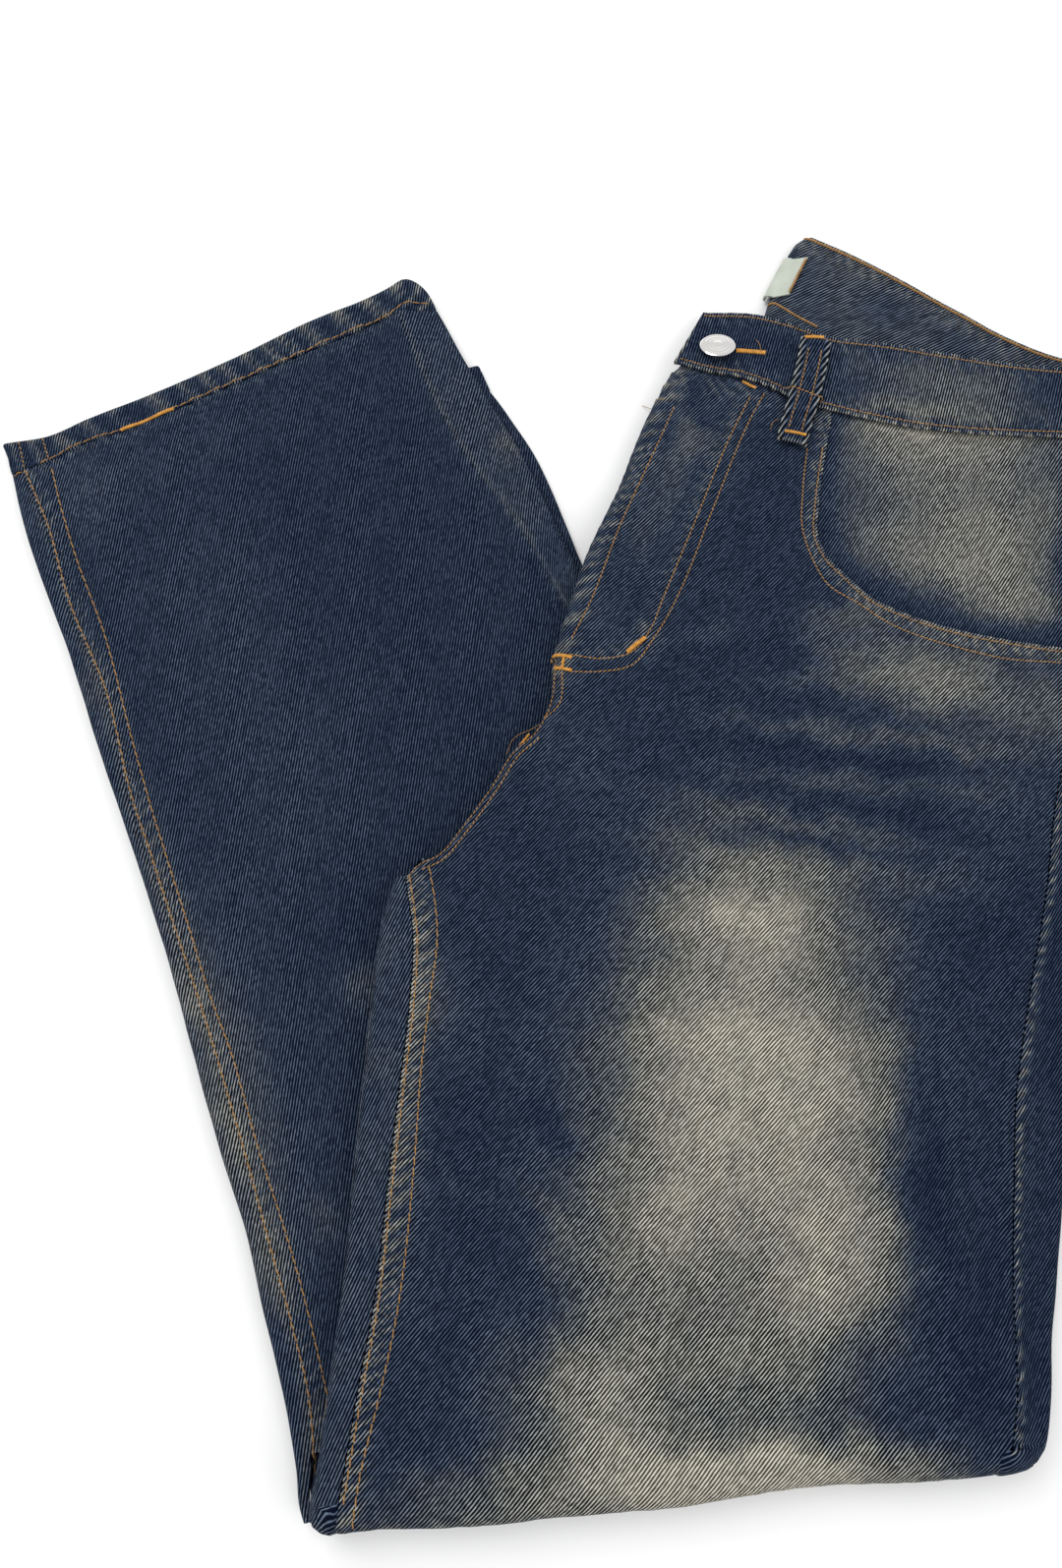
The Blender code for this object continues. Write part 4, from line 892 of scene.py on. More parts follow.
def thickened(points, faces, wall):
    """A closed wall below an open surface: the surface, its copy moved in, and the rim between."""
    normal = normals_of(points, corners_of(faces))
    count = len(points)
    sides = set()
    for face in faces:
        sides.update(zip(face, face[1:] + face[:1]))
    rim = [(b, a, a + count, b + count) for (a, b) in sides if (b, a) not in sides]
    inner = [tuple(index + count for index in reversed(face)) for face in faces]
    return np.concatenate([points, points - normal * wall]), list(faces) + inner + rim


def panel(outline, spacing, surface, bands=(), skirt=None):
    """A cloth panel over a surface, with rows that go on round one edge where skirt gives them.
    The third result is where each point lay while the cloth was flat."""
    flat, faces, order = filled(outline, spacing, bands)
    points = np.column_stack([flat, surface(flat)])
    if skirt:
        first, last, rows_of = skirt
        edge = order[first:last + 1]
        rows = rows_of(points[edge])
        start = len(points)
        points = np.concatenate([points] + rows)
        width = len(edge)
        strips = [edge] + [list(range(start + k * width, start + (k + 1) * width))
                           for k in range(len(rows))]
        laid = [flat[edge]]
        out = flat[edge] - rows[-1][:, :2]
        out /= np.linalg.norm(out, axis=1)[:, None]
        for upper, lower in zip(strips, strips[1:]):
            step = np.linalg.norm(points[lower] - points[upper], axis=1)
            laid.append(laid[-1] + out * step[:, None])
            for j in range(width - 1):
                faces.append((upper[j], lower[j], lower[j + 1], upper[j + 1]))
        flat = np.concatenate([flat] + laid[1:])
    return points, faces, flat


def round_under(inner_way, radius, low, reach, steps=8):
    """Rows for a skirt: from the edge's own height round to the height low, then back inwards."""
    def rows_of(edge):
        rows = []
        middle = edge[:, 2]
        for k in range(1, steps + 1):
            angle = math.pi / 2 * k / steps
            away = inner_way * radius * (1 - math.cos(angle))
            height = middle + (low - middle) * math.sin(angle)
            rows.append(np.column_stack([edge[:, :2] + away, height]))
        rows.append(np.column_stack([edge[:, :2] + inner_way * (radius + reach), rows[-1][:, 2]]))
        return rows
    return rows_of


def rolled(seam, edge, inner, high, low, reach=0.0, start=90.0, end=-90.0,
           steps=10, inner_low=None, level=None, spacing=2.6):
    """Cloth from a seam on top, round a folded edge and back underneath, as a grid."""
    count = len(edge)
    high, low, reach = (np.broadcast_to(v, count).astype(float) for v in (high, low, reach))
    inner_low = inner if inner_low is None else inner_low
    middle = (high + low) / 2
    columns = []
    if seam is not None:
        across = max(1, round(np.linalg.norm(inner - seam, axis=1).max() / spacing))
        for k in range(across):
            t = k / across
            place = seam + (inner - seam) * t
            columns.append(np.column_stack([place, level(place) * (1 - t) + high * t]))
    for k in range(steps + 1):
        angle = math.radians(start + (end - start) * k / steps)
        target = inner if angle > 0 else inner_low
        place = edge + (target - edge) * (1 - math.cos(angle))
        columns.append(np.column_stack([place, middle + (high - low) / 2 * math.sin(angle)]))
    way = inner_low - edge
    way = way / np.linalg.norm(way, axis=1)[:, None]
    if reach.max() > 0:
        columns.append(np.column_stack([inner_low + way * reach[:, None], low]))
    grid = np.stack(columns, axis=1)
    run = np.linalg.norm(np.diff(grid, axis=1), axis=2)
    flat = grid[:, :1, :2] - way[:, None, :] * np.concatenate(
        [np.zeros((count, 1)), np.cumsum(run, axis=1)], axis=1)[..., None]
    points = grid.reshape(-1, 3)
    faces = grid_faces(count, len(columns))
    middle_column, row = len(columns) // 2, count // 2
    across = np.cross(grid[row + 1, middle_column] - grid[row, middle_column],
                      grid[row, middle_column + 1] - grid[row, middle_column])
    if across[:2] @ way[row] < 0:
        faces = [tuple(reversed(face)) for face in faces]
    return points, faces, flat.reshape(-1, 2)


def hem_tube(edge, seam, low, high, wall, turn=8):
    """A hem as a flattened ring of cloth round the open end of a leg."""
    count = len(edge)
    profile = [(k, 1.0) for k in range(count)]
    profile += [(count - 1, math.cos(math.pi * k / turn)) for k in range(1, turn)]
    profile += [(k, -1.0) for k in range(count - 1, -1, -1)]
    profile += [(0, -math.cos(math.pi * k / turn)) for k in range(1, turn)]
    tips = [edge[0] - edge[1], edge[-1] - edge[-2]]
    section = [(1.0, 0.12), (0.99, 0.0), (0.9, -0.03), (0.7, 0.0), (0.45, 0.0), (0.2, 0.0),
               (0.06, -0.02), (0.0, 0.15), (-0.015, 0.5), (0.0, 0.85), (0.06, 1.0), (0.5, 1.0),
               (0.94, 1.0), (1.0, 0.85)]
    points, flat = [], []
    for k, level in profile:
        half = (high[k] - low[k]) / 2
        bulge = math.sqrt(max(0.0, 1 - level * level))
        tip = tips[0] if k == 0 else tips[1]
        tip = tip / np.linalg.norm(tip)
        middle = (high[k] + low[k]) / 2
        for across, depth in section:
            reach = half - wall * depth
            place = edge[k] + (seam[k] - edge[k]) * across
            points.append((*(place + tip * reach * bulge), middle + reach * level))
            flat.append(place + tip * half * bulge)
    rings, size = len(profile), len(section)
    faces = []
    for i in range(rings):
        for j in range(size):
            k, n = (j + 1) % size, (i + 1) % rings
            faces.append((i * size + j, n * size + j, n * size + k, i * size + k))
    return np.array(points), faces, np.array(flat)


# ---------------------------------------------------------------- relief, wash and twill

def pucker(places, line, offset, period, half_width, height, seed=0.0):
    """Small slanted waves that a seam pulls into the cloth beside it."""
    away, along = nearest(places, line)
    along = along + 0.7 * (away - offset)
    beat = along / period + 0.6 * np.sin(along / period / 2.7 + seed)
    beat += 0.35 * np.sin(along / 9.1 + seed * 2)
    wave = np.sin(2 * math.pi * beat) + 0.4 * np.sin(2 * math.pi * beat * 1.63 + seed)
    return height * wave * np.exp(-(((away - offset) / half_width) ** 2))


def groove(places, line, offset, half_width, depth):
    away = distance_to(places, line) - offset
    return -depth * np.exp(-((away / half_width) ** 2))


def flattened_field(places, slopes, spacing):
    """Twill coordinates: the line's number across, and how far along it, in spacings."""
    table = np.array(sorted(slopes), float)
    y = np.arange(-340.0, 340.0, 2.0)
    lean = 1 / np.tan(np.radians(np.interp(y, table[:, 0], table[:, 1])))
    shift = np.concatenate([[0], np.cumsum((lean[1:] + lean[:-1]) / 2 * 2.0)])
    mean = math.radians(float(table[:, 1].mean()))
    across = (places[:, 0] - np.interp(places[:, 1], y, shift)) * math.sin(mean) / spacing
    return np.column_stack([across, places[:, 1] / spacing])


PIECES = {}


def on_table(points):
    """Points in table millimetres as metres about the part's middle."""
    return ((points - (*TABLE_CENTRE, 0)) * MM).tolist()


def added(name, mesh):
    """The mesh as a named object that rides on the part's one body."""
    piece = bpy.data.objects.new(name, mesh)
    bpy.context.scene.collection.objects.link(piece)
    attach(piece, "root")
    PIECES[name] = piece
    return piece


def add_piece(name, shape, material, slopes=HIP_TWILL, wash=None, worn=None, relief=None,
              wall=WALL, closed=False):
    """One named object from points in table millimetres, its flat places and its fields."""
    points, faces, flat = shape
    if relief is not None:
        points = points + normals_of(points, corners_of(faces)) * relief(flat)[:, None]
    if not closed:
        points, faces = thickened(points, faces, wall)
        flat = np.concatenate([flat, flat])
    points[:, 2] = np.maximum(points[:, 2], 0.0)
    mesh = bpy.data.meshes.new(name)
    mesh.from_pydata(on_table(points), [], faces)
    mesh.update()
    mesh.shade_smooth()
    mesh.set_sharp_from_angle(angle=math.radians(60))
    mesh.materials.append(material)
    if slopes is not None:
        twill = bpy.context.scene.jeans_denim.twill / MM
        corner = np.empty(len(mesh.loops), np.int32)
        mesh.loops.foreach_get("vertex_index", corner)
        layer = mesh.uv_layers.new(name="weave")
        layer.data.foreach_set("uv", flattened_field(flat, slopes, twill)[corner].ravel())
        for field, rule in (("fade_and_shade", wash), ("wear", worn)):
            value = np.zeros(len(flat)) if rule is None else rule(flat)
            held = mesh.attributes.new(field, "FLOAT", "POINT")
            held.data.foreach_set("value", np.clip(value, 0, 1).astype(np.float32))
    return added(name, mesh)


# ---------------------------------------------------------------- materials

class Finish:
    """One material, with the steps that the finishes share."""

    def __init__(self, name):
        self.material = bpy.data.materials.new(name)
        self.material.use_nodes = True
        self.nodes = self.material.node_tree.nodes
        self.shader = self.nodes["Principled BSDF"].inputs

    def add(self, kind, inputs=(), **settings):
        """A new node with its settings and the values or links of its inputs."""
        node = self.nodes.new("ShaderNode" + kind)
        for name, value in settings.items():
            setattr(node, name, value)
        for name, value in dict(inputs).items():
            self.feed(node.inputs[name], value)
        return node

    def feed(self, socket, value):
        """Links a node's output to a socket, or sets a plain value on it."""
        if isinstance(value, bpy.types.NodeSocket):
            self.material.node_tree.links.new(value, socket)
        elif socket.type == "RGBA":
            socket.default_value = (*value, 1)
        else:
            socket.default_value = value

    def place(self):
        return self.add("TexCoord").outputs["Object"]

    def maths(self, operation, *values, clamp=False):
        return self.add("Math", enumerate(values), operation=operation, use_clamp=clamp).outputs[0]

    def swing(self, value, amount):
        """How far a value from 0 to 1 is from its middle, times an amount."""
        return self.maths("MULTIPLY", self.maths("SUBTRACT", value, 0.5), amount)

    def weighed(self, first, share, second, other):
        """Two values, each times its share, added up."""
        return self.maths("ADD", self.maths("MULTIPLY", first, share),
                          self.maths("MULTIPLY", second, other))

    def mixed(self, share, first, second, blend="MIX"):
        inputs = {0: share, 6: first, 7: second}
        return self.add("Mix", inputs, data_type="RGBA", blend_type=blend).outputs[2]

    def ramp(self, value, stops):
        node = self.add("ValToRGB", {0: value})
        while len(node.color_ramp.elements) < len(stops):
            node.color_ramp.elements.new(0.5)
        for element, (place, tint) in zip(node.color_ramp.elements, stops):
            element.position = place
            element.color = (*tint, 1)
        return node.outputs[0]

    def noise(self, vector, scale, detail=2.0, roughness=0.5):
        return self.add("TexNoise", {"Scale": scale, "Detail": detail, "Roughness": roughness,
                                     "Vector": vector}).outputs["Fac"]

    def mapped(self, vector, scale, turn=0.0):
        return self.add("Mapping", {"Scale": scale, "Rotation": (0, 0, math.radians(turn)),
                                    "Vector": vector}).outputs[0]

    def bump(self, height, strength, distance):
        node = self.add("Bump", {"Strength": strength, "Distance": distance, "Height": height})
        self.feed(self.shader["Normal"], node.outputs[0])


def blended(first, second, share):
    return tuple(a + (b - a) * share for a, b in zip(first, second))


def denim_material():
    """Right-hand twill that follows the weave map, washed and worn by two attributes; the wash also
    holds painted fold shade on the thigh.
    """
    denim = bpy.context.scene.jeans_denim
    look = Finish("denim")
    m = look.maths
    place = look.place()
    weave = look.add("UVMap", uv_map="weave").outputs[0]
    column, down = look.add("SeparateXYZ", {0: weave}).outputs[:2]
    fade_and_shade = look.add("Attribute", attribute_name="fade_and_shade").outputs["Fac"]
    wear = look.add("Attribute", attribute_name="wear").outputs["Fac"]

    # the lines of the twill, a little irregular
    across = m("ADD", column, look.swing(look.noise(place, 600), TWILL_WANDER))
    part = m("FRACT", across)
    ridge = m("SUBTRACT", 1.0, m("MULTIPLY", m("ABSOLUTE", m("SUBTRACT", part, 0.5)), 2.0))
    line = m("FLOOR", across)
    # short yarn floats along each line
    start = look.add("TexWhiteNoise", {"W": line}, noise_dimensions="1D").outputs[0]
    along = m("FLOOR", look.weighed(down, 0.75, start, 7.0))
    cell = look.add("CombineXYZ", {0: line, 1: along}).outputs[0]
    floats = look.add("TexWhiteNoise", {"Vector": cell}, noise_dimensions="2D").outputs[0]
    # yarns that run down the leg, thicker and thinner
    slub = look.noise(look.mapped(place, (800, 130, 130), 4), 1.0, 3, 0.6)
    strand = look.add("CombineXYZ", {0: m("MULTIPLY", column, 1.6), 1: m("MULTIPLY", down, 0.55)})
    grain = look.noise(strand.outputs[0], 1.0, 1)
    cloud = look.noise(place, 28, 3, 0.6)

    # the wash, which holds painted shade of the thigh's folds, mottled a little
    washed = m("ADD", fade_and_shade, look.swing(cloud, 0.07))
    rub = m("MULTIPLY", wear, m("ADD", 0.6, m("MULTIPLY", cloud, 0.5)))
    washed = m("ADD", washed, rub, clamp=True)
    # pale yarn shows where a float is high enough, and more of it where the wash was strong
    tone = m("ADD", ridge, look.swing(floats, FLOAT_CONTRAST))
    tone = m("ADD", tone, look.swing(slub, SLUB_CONTRAST))
    tone = m("ADD", tone, look.swing(grain, GRAIN_CONTRAST))
    level = m("SUBTRACT", DARK_LEVEL, m("MULTIPLY", washed, WASH_LEVEL))
    tone = m("ADD", m("MULTIPLY", m("SUBTRACT", tone, level), 2.0), 0.5, clamp=True)
    low = look.ramp(washed, [(0.0, denim.dark), (0.45, denim.dark_half),
                             (0.65, denim.dark_worn), (1.0, denim.dark_pale)])
    high = look.ramp(washed, [(0.0, denim.light), (0.13, denim.light_blue),
                              (0.45, denim.light_half), (1.0, denim.light_pale)])
    look.feed(look.shader["Base Color"], look.mixed(tone, low, high))

    height = m("ADD", look.weighed(ridge, 0.8, grain, 0.3), m("MULTIPLY", slub, 0.35))
    look.bump(height, 0.75, denim.relief)
    look.feed(look.shader["Roughness"], m("ADD", 0.86, m("MULTIPLY", grain, 0.12)))
    look.feed(look.shader["Specular IOR Level"], 0.03)


def thread_material(name, tint):
    """Twisted sewing thread."""
    look = Finish(name)
    place = look.place()
    spread = look.noise(place, 420)
    twist = look.noise(look.mapped(place, (2600, 2600, 2600)), 1.0, 1)
    tints = [(0.25, blended(THREAD_SHADE, tint, 0.45)), (0.55, tint),
             (0.8, blended(tint, THREAD_SHINE, 0.25))]
    look.feed(look.shader["Base Color"], look.ramp(look.weighed(spread, 0.7, twist, 0.3), tints))
    look.bump(twist, 0.5, 0.00015)
    look.feed(look.shader["Roughness"], 0.7)


def label_material():
    """Plain woven tape."""
    look = Finish("label_tape")
    tint = tuple(bpy.context.scene.jeans_fittings.label)
    place = look.place()
    ribs = {"Scale": 420, "Distortion": 0.6, "Vector": look.mapped(place, (1, 1, 1), 27)}
    rib = look.add("TexWave", ribs, bands_direction="Y").outputs["Fac"]
    tone = look.weighed(rib, 0.25, look.noise(place, 160, 3), 0.75)
    tints = [(0.2, blended(LABEL_SOIL, tint, 0.7)), (0.6, tint)]
    look.feed(look.shader["Base Color"], look.ramp(tone, tints))
    look.bump(rib, 0.6, 0.00012)
    look.feed(look.shader["Roughness"], 0.85)


def button_seat():
    """Where the button's middle lies, in metres."""
    x, y = BUTTON_PLACE
    height = float(band_surface(np.array([BUTTON_PLACE]))[0]) + BUTTON_LIFT
    return (x - TABLE_CENTRE[0]) * MM, (y - TABLE_CENTRE[1]) * MM, height * MM


def metal_material():
    """Pale brushed metal with fine wear, and painted shade at the rim and in the grooves between
    the rings of the button's face.
    """
    look = Finish("button_metal")
    fittings = bpy.context.scene.jeans_fittings
    tint = tuple(fittings.metal)
    place = look.place()
    spots = look.noise(place, 700, 3)
    seat = {"Location": button_seat(), "Scale": (fittings.button / 2,) * 3, "Vector": place}
    face = look.add("Mapping", seat, vector_type="TEXTURE").outputs[0]
    radial = look.add("TexGradient", {"Vector": face}, gradient_type="SPHERICAL")
    # painted shade for the rim and the grooves between the rings
    painted_shade = blended(METAL_SHADE, tint, 0.15)
    tints = {"painted_shade": painted_shade, "half": blended(painted_shade, tint, 0.7), "bright": tint}
    rings = look.ramp(radial.outputs["Fac"], [(stop, tints[name]) for stop, name in METAL_RINGS])
    worn = look.ramp(spots, [(0.35, METAL_WEAR), (0.6, (1.0, 1.0, 1.0))])
    look.feed(look.shader["Base Color"], look.mixed(1.0, rings, worn, "MULTIPLY"))
    look.feed(look.shader["Roughness"], look.maths("ADD", 0.22, look.maths("MULTIPLY", spots, 0.3)))
    look.feed(look.shader["Metallic"], 1.0)


def material_of(name):
    return bpy.data.materials[name]


# ---------------------------------------------------------------- wash, painted fold shade and relief by place

def even(amount):
    """A field or a surface that is the same everywhere."""
    return lambda places: np.full(len(places), amount)


def pucker_height():
    return bpy.context.scene.jeans_denim.pucker / MM


def seam_height(places, seams):
    """The small waves along all the seams of a table."""
    unit = pucker_height()
    return sum(pucker(places, smooth_line(line, step), offset, wave, half_width, unit * height,
                      seed) for line, step, offset, wave, half_width, height, _, seed in seams)


def seam_rub(places, seams):
    """Worn indigo along the seams, most of all on the crests of their small waves."""
    total = np.zeros(len(places))
    for table, step, offset, wave, half_width, _, rub, seed in seams:
        line = smooth_line(table, step)
        band = np.exp(-(((distance_to(places, line) - offset) / half_width) ** 2))
        crest = pucker(places, line, offset, wave, half_width, 1.0, seed)
        total += rub * np.clip(0.5 * band + 0.9 * crest, 0, 1.4)
    return total


def ridge_along(places, line, offset, half_width):
    """From 0 to 1, highest along a line at an offset from it."""
    return np.exp(-((distance_to(places, line) - offset) / half_width) ** 2)


def thigh_wash_and_shade(places):
    # The ovals paint the wash and the shade of the folds; the cloth is darker still to the right,
    # below the pocket
    dark_side = 0.05 * eased((places[:, 0] - 138) / 20) * eased((20 - places[:, 1]) / 40)
    mottled = 1 + 0.14 * uneven(places, 15, 7.0) + 0.08 * uneven(places, 6, 8.0)
    return 0.05 + ovals(places, THIGH_WASH_AND_SHADE) * mottled - dark_side


def thigh_relief(places):
    height = fold_height(places, THIGH_CREASES, 0.5)
    height += 0.28 * uneven(places, 26, 1.0) + 0.10 * uneven(places, 8, 2.0)
    height += seam_height(places, THIGH_SEAMS)
    height -= 1.5 * eased((distance_to(places, WAIST_LINE) + 3.4) / 3)
    for line in THIGH_STITCH_LINES:
        height += groove(places, smooth_line(line, 3), 0.0, *STITCH_GROOVE)
    return height


def shin_wash(places):
    return 0.035 + ovals(places, SHIN_WASH) + 0.02 * uneven(places, 10, 9.0)


def under_wash(places):
    return 0.05 + 0.03 * uneven(places, 24, 3.0)


def under_relief(places):
    return 0.25 * uneven(places, 22, 2.0)


# ---------------------------------------------------------------- operators

class JeansOperator:
    bl_options = {"REGISTER", "UNDO"}


class OBJECT_OT_jeans_materials(JeansOperator, bpy.types.Operator):
    """Makes the denim, thread, label and metal"""
    bl_idname = "object.jeans_materials"
    bl_label = "Materials"

    def execute(self, context):
        sewing = context.scene.jeans_sewing
        denim_material()
        thread_material("ochre_thread", tuple(sewing.thread))
        thread_material("orange_tack_thread", tuple(sewing.tack))
        label_material()
        metal_material()
        return {"FINISHED"}


class OBJECT_OT_jeans_thigh(JeansOperator, bpy.types.Operator):
    """The left leg's front and back above the knee fold, and the right leg's edges under it"""
    bl_idname = "object.jeans_thigh"
    bl_label = "Thigh and hip"

    def execute(self, context):
        spacing = context.scene.jeans_denim.spacing / MM
        denim = material_of("denim")
        self.front(spacing, denim)
        self.back_side(spacing, denim)
        self.back_inseam(spacing, denim)
        self.right_front_edge(spacing, denim)
        self.right_back_inseam(spacing, denim)
        return {"FINISHED"}

    def front(self, spacing, denim):
        waist = between(moved_in(smooth_line(WAIST_SEAM, spacing), WAIST_LAP), 0, 47.5, 119.5)
        pocket = smooth_line([POCKET_START] + POCKET_EDGE, spacing)
        side = smooth_line([POCKET_CORNER] + [p for p in SIDE_SEAM if p[1] < 60], spacing)
        knee = smooth_line(KNEE_EDGE, spacing)
        inseam = smooth_line(INSEAM, spacing)
        centre = joined(smooth_line(FLY_EDGE, spacing), smooth_line(CROTCH_EDGE, spacing))
        outline = joined(centre, inseam, knee, side[::-1], pocket[::-1], waist[::-1])
        first = int(np.argmin(np.linalg.norm(outline - knee[0], axis=1)))
        last = first + len(knee) - 1
        bands = [(knee, KNEE_ROWS), (centre[:-2], CENTRE_ROWS)]
        bands += [(smooth_line(line, FINE_STEP), rows) for line, rows in THIGH_ROWS]
        way = inward(outline[first:last + 1], 6)
        skirt = (first, last, round_under(way, KNEE_RADIUS, 0.0, TUCK))
        shape = panel(outline, spacing, front_surface, bands, skirt)
        piece = add_piece("left_front_cloth", shape, denim, HIP_TWILL, thigh_wash_and_shade,
                          partial(seam_rub, seams=THIGH_SEAMS), thigh_relief)
        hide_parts("left_front")

    def wrapped(self, seam, edge, inner, table):
        """The left back from its seam round the outer fold, which narrows to the knee's corner."""
        rows = spaced(np.array(table, float), CORNER_ROWS)
        steps = (np.arange(len(edge)) - len(edge) + CORNER_FADE - 1) / CORNER_FADE
        lowered = np.concatenate([eased(steps), np.ones(len(rows))])
        lower = np.concatenate([inner, rows[:, 4:6]])
        seam = np.concatenate([seam, rows[:, 6:8]])
        edge = np.concatenate([edge, rows[:, 0:2]])
        inner = np.concatenate([inner, rows[:, 2:4]])
        low = (thigh_floor(edge) + RIGHT_THIGH + LAYER_GAP) * (1 - lowered)
        return rolled(seam, edge, inner, thigh_top(inner) - FLUSH, low, inner_low=lower,
                      level=lambda places: thigh_top(places) - FLUSH, spacing=EDGE_STEP)

    def back_side(self, spacing, denim):
        count = round(SIDE_RUN / spacing)
        seam = spaced(smooth_line(SIDE_SEAM, 3), count) + (SEAM_LAP, 0)
        edge = spaced(smooth_line(SIDE_EDGE, 3), count)
        shape = self.wrapped(seam, edge, moved_in(edge, -EDGE_RADIUS), RIGHT_TURN)
        line = smooth_line(SIDE_SEAM, 4)

        def relief(places):
            height = 0.28 * uneven(places, 26, 1.0) + fold_height(places, THIGH_CREASES, 0.5)
            height += seam_height(places, BACK_SIDE_SEAMS)
            return height + 0.5 * ridge_along(places, line, 2.2, 2.0)

        piece = add_piece("left_back_side_cloth", shape, denim, SIDE_TWILL, thigh_wash_and_shade,
                          partial(seam_rub, seams=BACK_SIDE_SEAMS), relief)
        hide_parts("left_back_side")

    def back_inseam(self, spacing, denim):
        count = round(INSEAM_RUN / spacing)
        seam = spaced(smooth_line(INSEAM, 3), count) - (SEAM_LAP, 0)
        edge = spaced(smooth_line(THIGH_EDGE, 3), count)
        width = np.linalg.norm(seam - edge, axis=1)
        reach = np.minimum(EDGE_RADIUS, width * 0.7)
        inner = edge + (seam - edge) / width[:, None] * reach[:, None]
        shape = self.wrapped(seam, edge, inner, LEFT_TURN)
        line = smooth_line(INSEAM, 4)

        def relief(places):
            waves = pucker(places, line, -1.5, 5.0, 3.0, pucker_height() * 0.6, 0.4)
            return 0.2 * uneven(places, 22, 1.4) + waves

        piece = add_piece("left_back_inseam_cloth", shape, denim, STRIP_TWILL,
                          lambda places: 0.15 + 0.05 * uneven(places, 20, 3.0), None, relief)
        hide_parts("left_back_inseam")

    def right_front_edge(self, spacing, denim):
        edge = spaced(CENTRE_LINE, round(CENTRE_RUN / spacing))[:-2]
        shape = rolled(None, edge, moved_in(edge, CENTRE_RADIUS), thigh_top(edge),
                       thigh_floor(edge), reach=UNDERLAP, start=-12.0, steps=8)
        piece = add_piece("right_front_edge_cloth", shape, denim, HIP_TWILL, even(0.04))
        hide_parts("right_front_edge")

    def right_back_inseam(self, spacing, denim):
        edge = smooth_line(RIGHT_THIGH_EDGE, spacing)
        low = thigh_floor(edge) + 0.2

        def level(places):
            return thigh_floor(places) + 0.2 + RIGHT_THIGH - 0.6

        shape = rolled(moved_in(edge, 9), edge, moved_in(edge, 2.4), low + RIGHT_THIGH - 0.6,
                       low, reach=UNDERLAP, level=level)
        piece = add_piece("right_back_inseam_cloth", shape, denim, SHIN_TWILL, even(0.22))
        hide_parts("right_back_inseam")


class OBJECT_OT_jeans_under(JeansOperator, bpy.types.Operator):
    """The edges and undersides of the layers that lie below: the right thigh and the left shin"""
    bl_idname = "object.jeans_under"
    bl_label = "Layers below"

    def execute(self, context):
        denim = material_of("denim")
        self.right_thigh(denim)
        self.left_shin(denim)
        self.right_bands(denim)
        return {"FINISHED"}

    def right_thigh(self, denim):
        """The right leg's folded side under the left leg's, and its underside."""
        edge = smooth_line([p for p in SIDE_EDGE if p[1] > -215], 3)
        edge = moved_in(edge, -0.6)
        low = thigh_floor(edge)
        shape = rolled(moved_in(edge, -SIDE_LAP), edge, moved_in(edge, -2.4),
                       low + RIGHT_THIGH - FLUSH, low, reach=SIDE_LAP,
                       level=lambda places: thigh_floor(places) + RIGHT_THIGH - FLUSH)
        piece = add_piece("right_thigh_side_cloth", shape, denim, SIDE_TWILL, under_wash, None,
                          under_relief)
        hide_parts("hidden_layers")
        outline = joined(moved_in(smooth_line(CENTRE_EDGES, 6), 11.0, 4),
                         moved_in(smooth_line(THIGH_EDGE[1:-1], 6), 12.0, 3),
                         np.array(UNDERSIDE_KNEE),
                         moved_in(smooth_line(SIDE_EDGE[:-1], 6), -13.0, 3)[::-1],
                         np.array(UNDERSIDE_WAIST))
        shape = panel(outline, COARSE_STEP, lambda places: thigh_floor(places) + WALL + LAYER_GAP)
        add_piece("right_thigh_underside_cloth", shape, denim, HIP_TWILL, under_wash)

    def left_shin(self, denim):
        """The left leg below the knee, flat on the table."""
        for name, table, way in (
            ("left_shin_inseam_cloth", [LEFT_SHIN_CORNER] + LEFT_SHIN_EDGE, 1),
            ("left_shin_side_cloth", [LEFT_SIDE_CORNER] + LEFT_SHIN_SIDE, -1),
        ):
            edge = smooth_line(table, 3)
            shape = rolled(moved_in(edge, 16 * way), edge, moved_in(edge, 2.0 * way),
                           LEFT_SHIN - FLUSH, 0.0, reach=SHIN_LAP, level=even(LEFT_SHIN - FLUSH))
            add_piece(name, shape, denim, SHIN_TWILL, under_wash, None, under_relief)
        hem = spaced(smooth_line(LEFT_HEM, 4), 40)[2:-2] + LEG_WAY * (HEM_DEPTH + 1.2)
        outline = joined(moved_in(smooth_line(LEFT_SHIN_EDGE, 6), 14.0)[3:],
                         np.array(LEFT_SHIN_KNEE),
                         moved_in(smooth_line(LEFT_SHIN_SIDE[:-1], 6), -14.0)[::-1], hem[::-1])
        for name, top in (("left_shin_underside_cloth", WALL + 0.2),
                          ("left_shin_upper_cloth", LEFT_SHIN - 0.2)):
            add_piece(name, panel(outline, COARSE_STEP, even(top)), denim, SHIN_TWILL, under_wash)

    def right_bands(self, denim):
        """The right half's waistband, front and back, under the back waistband."""
        outline = joined(smooth_line(RIGHT_BAND_FOLD, 5), smooth_line(RIGHT_BAND_LOW, 8),
                         smooth_line(RIGHT_BAND_TOP, 5))
        for name, top in RIGHT_BAND_HEIGHTS.items():
            add_piece(name, panel(outline, 8.0, even(top)), denim, BACK_BAND_TWILL, under_wash,
                      wall=BAND_WALL)


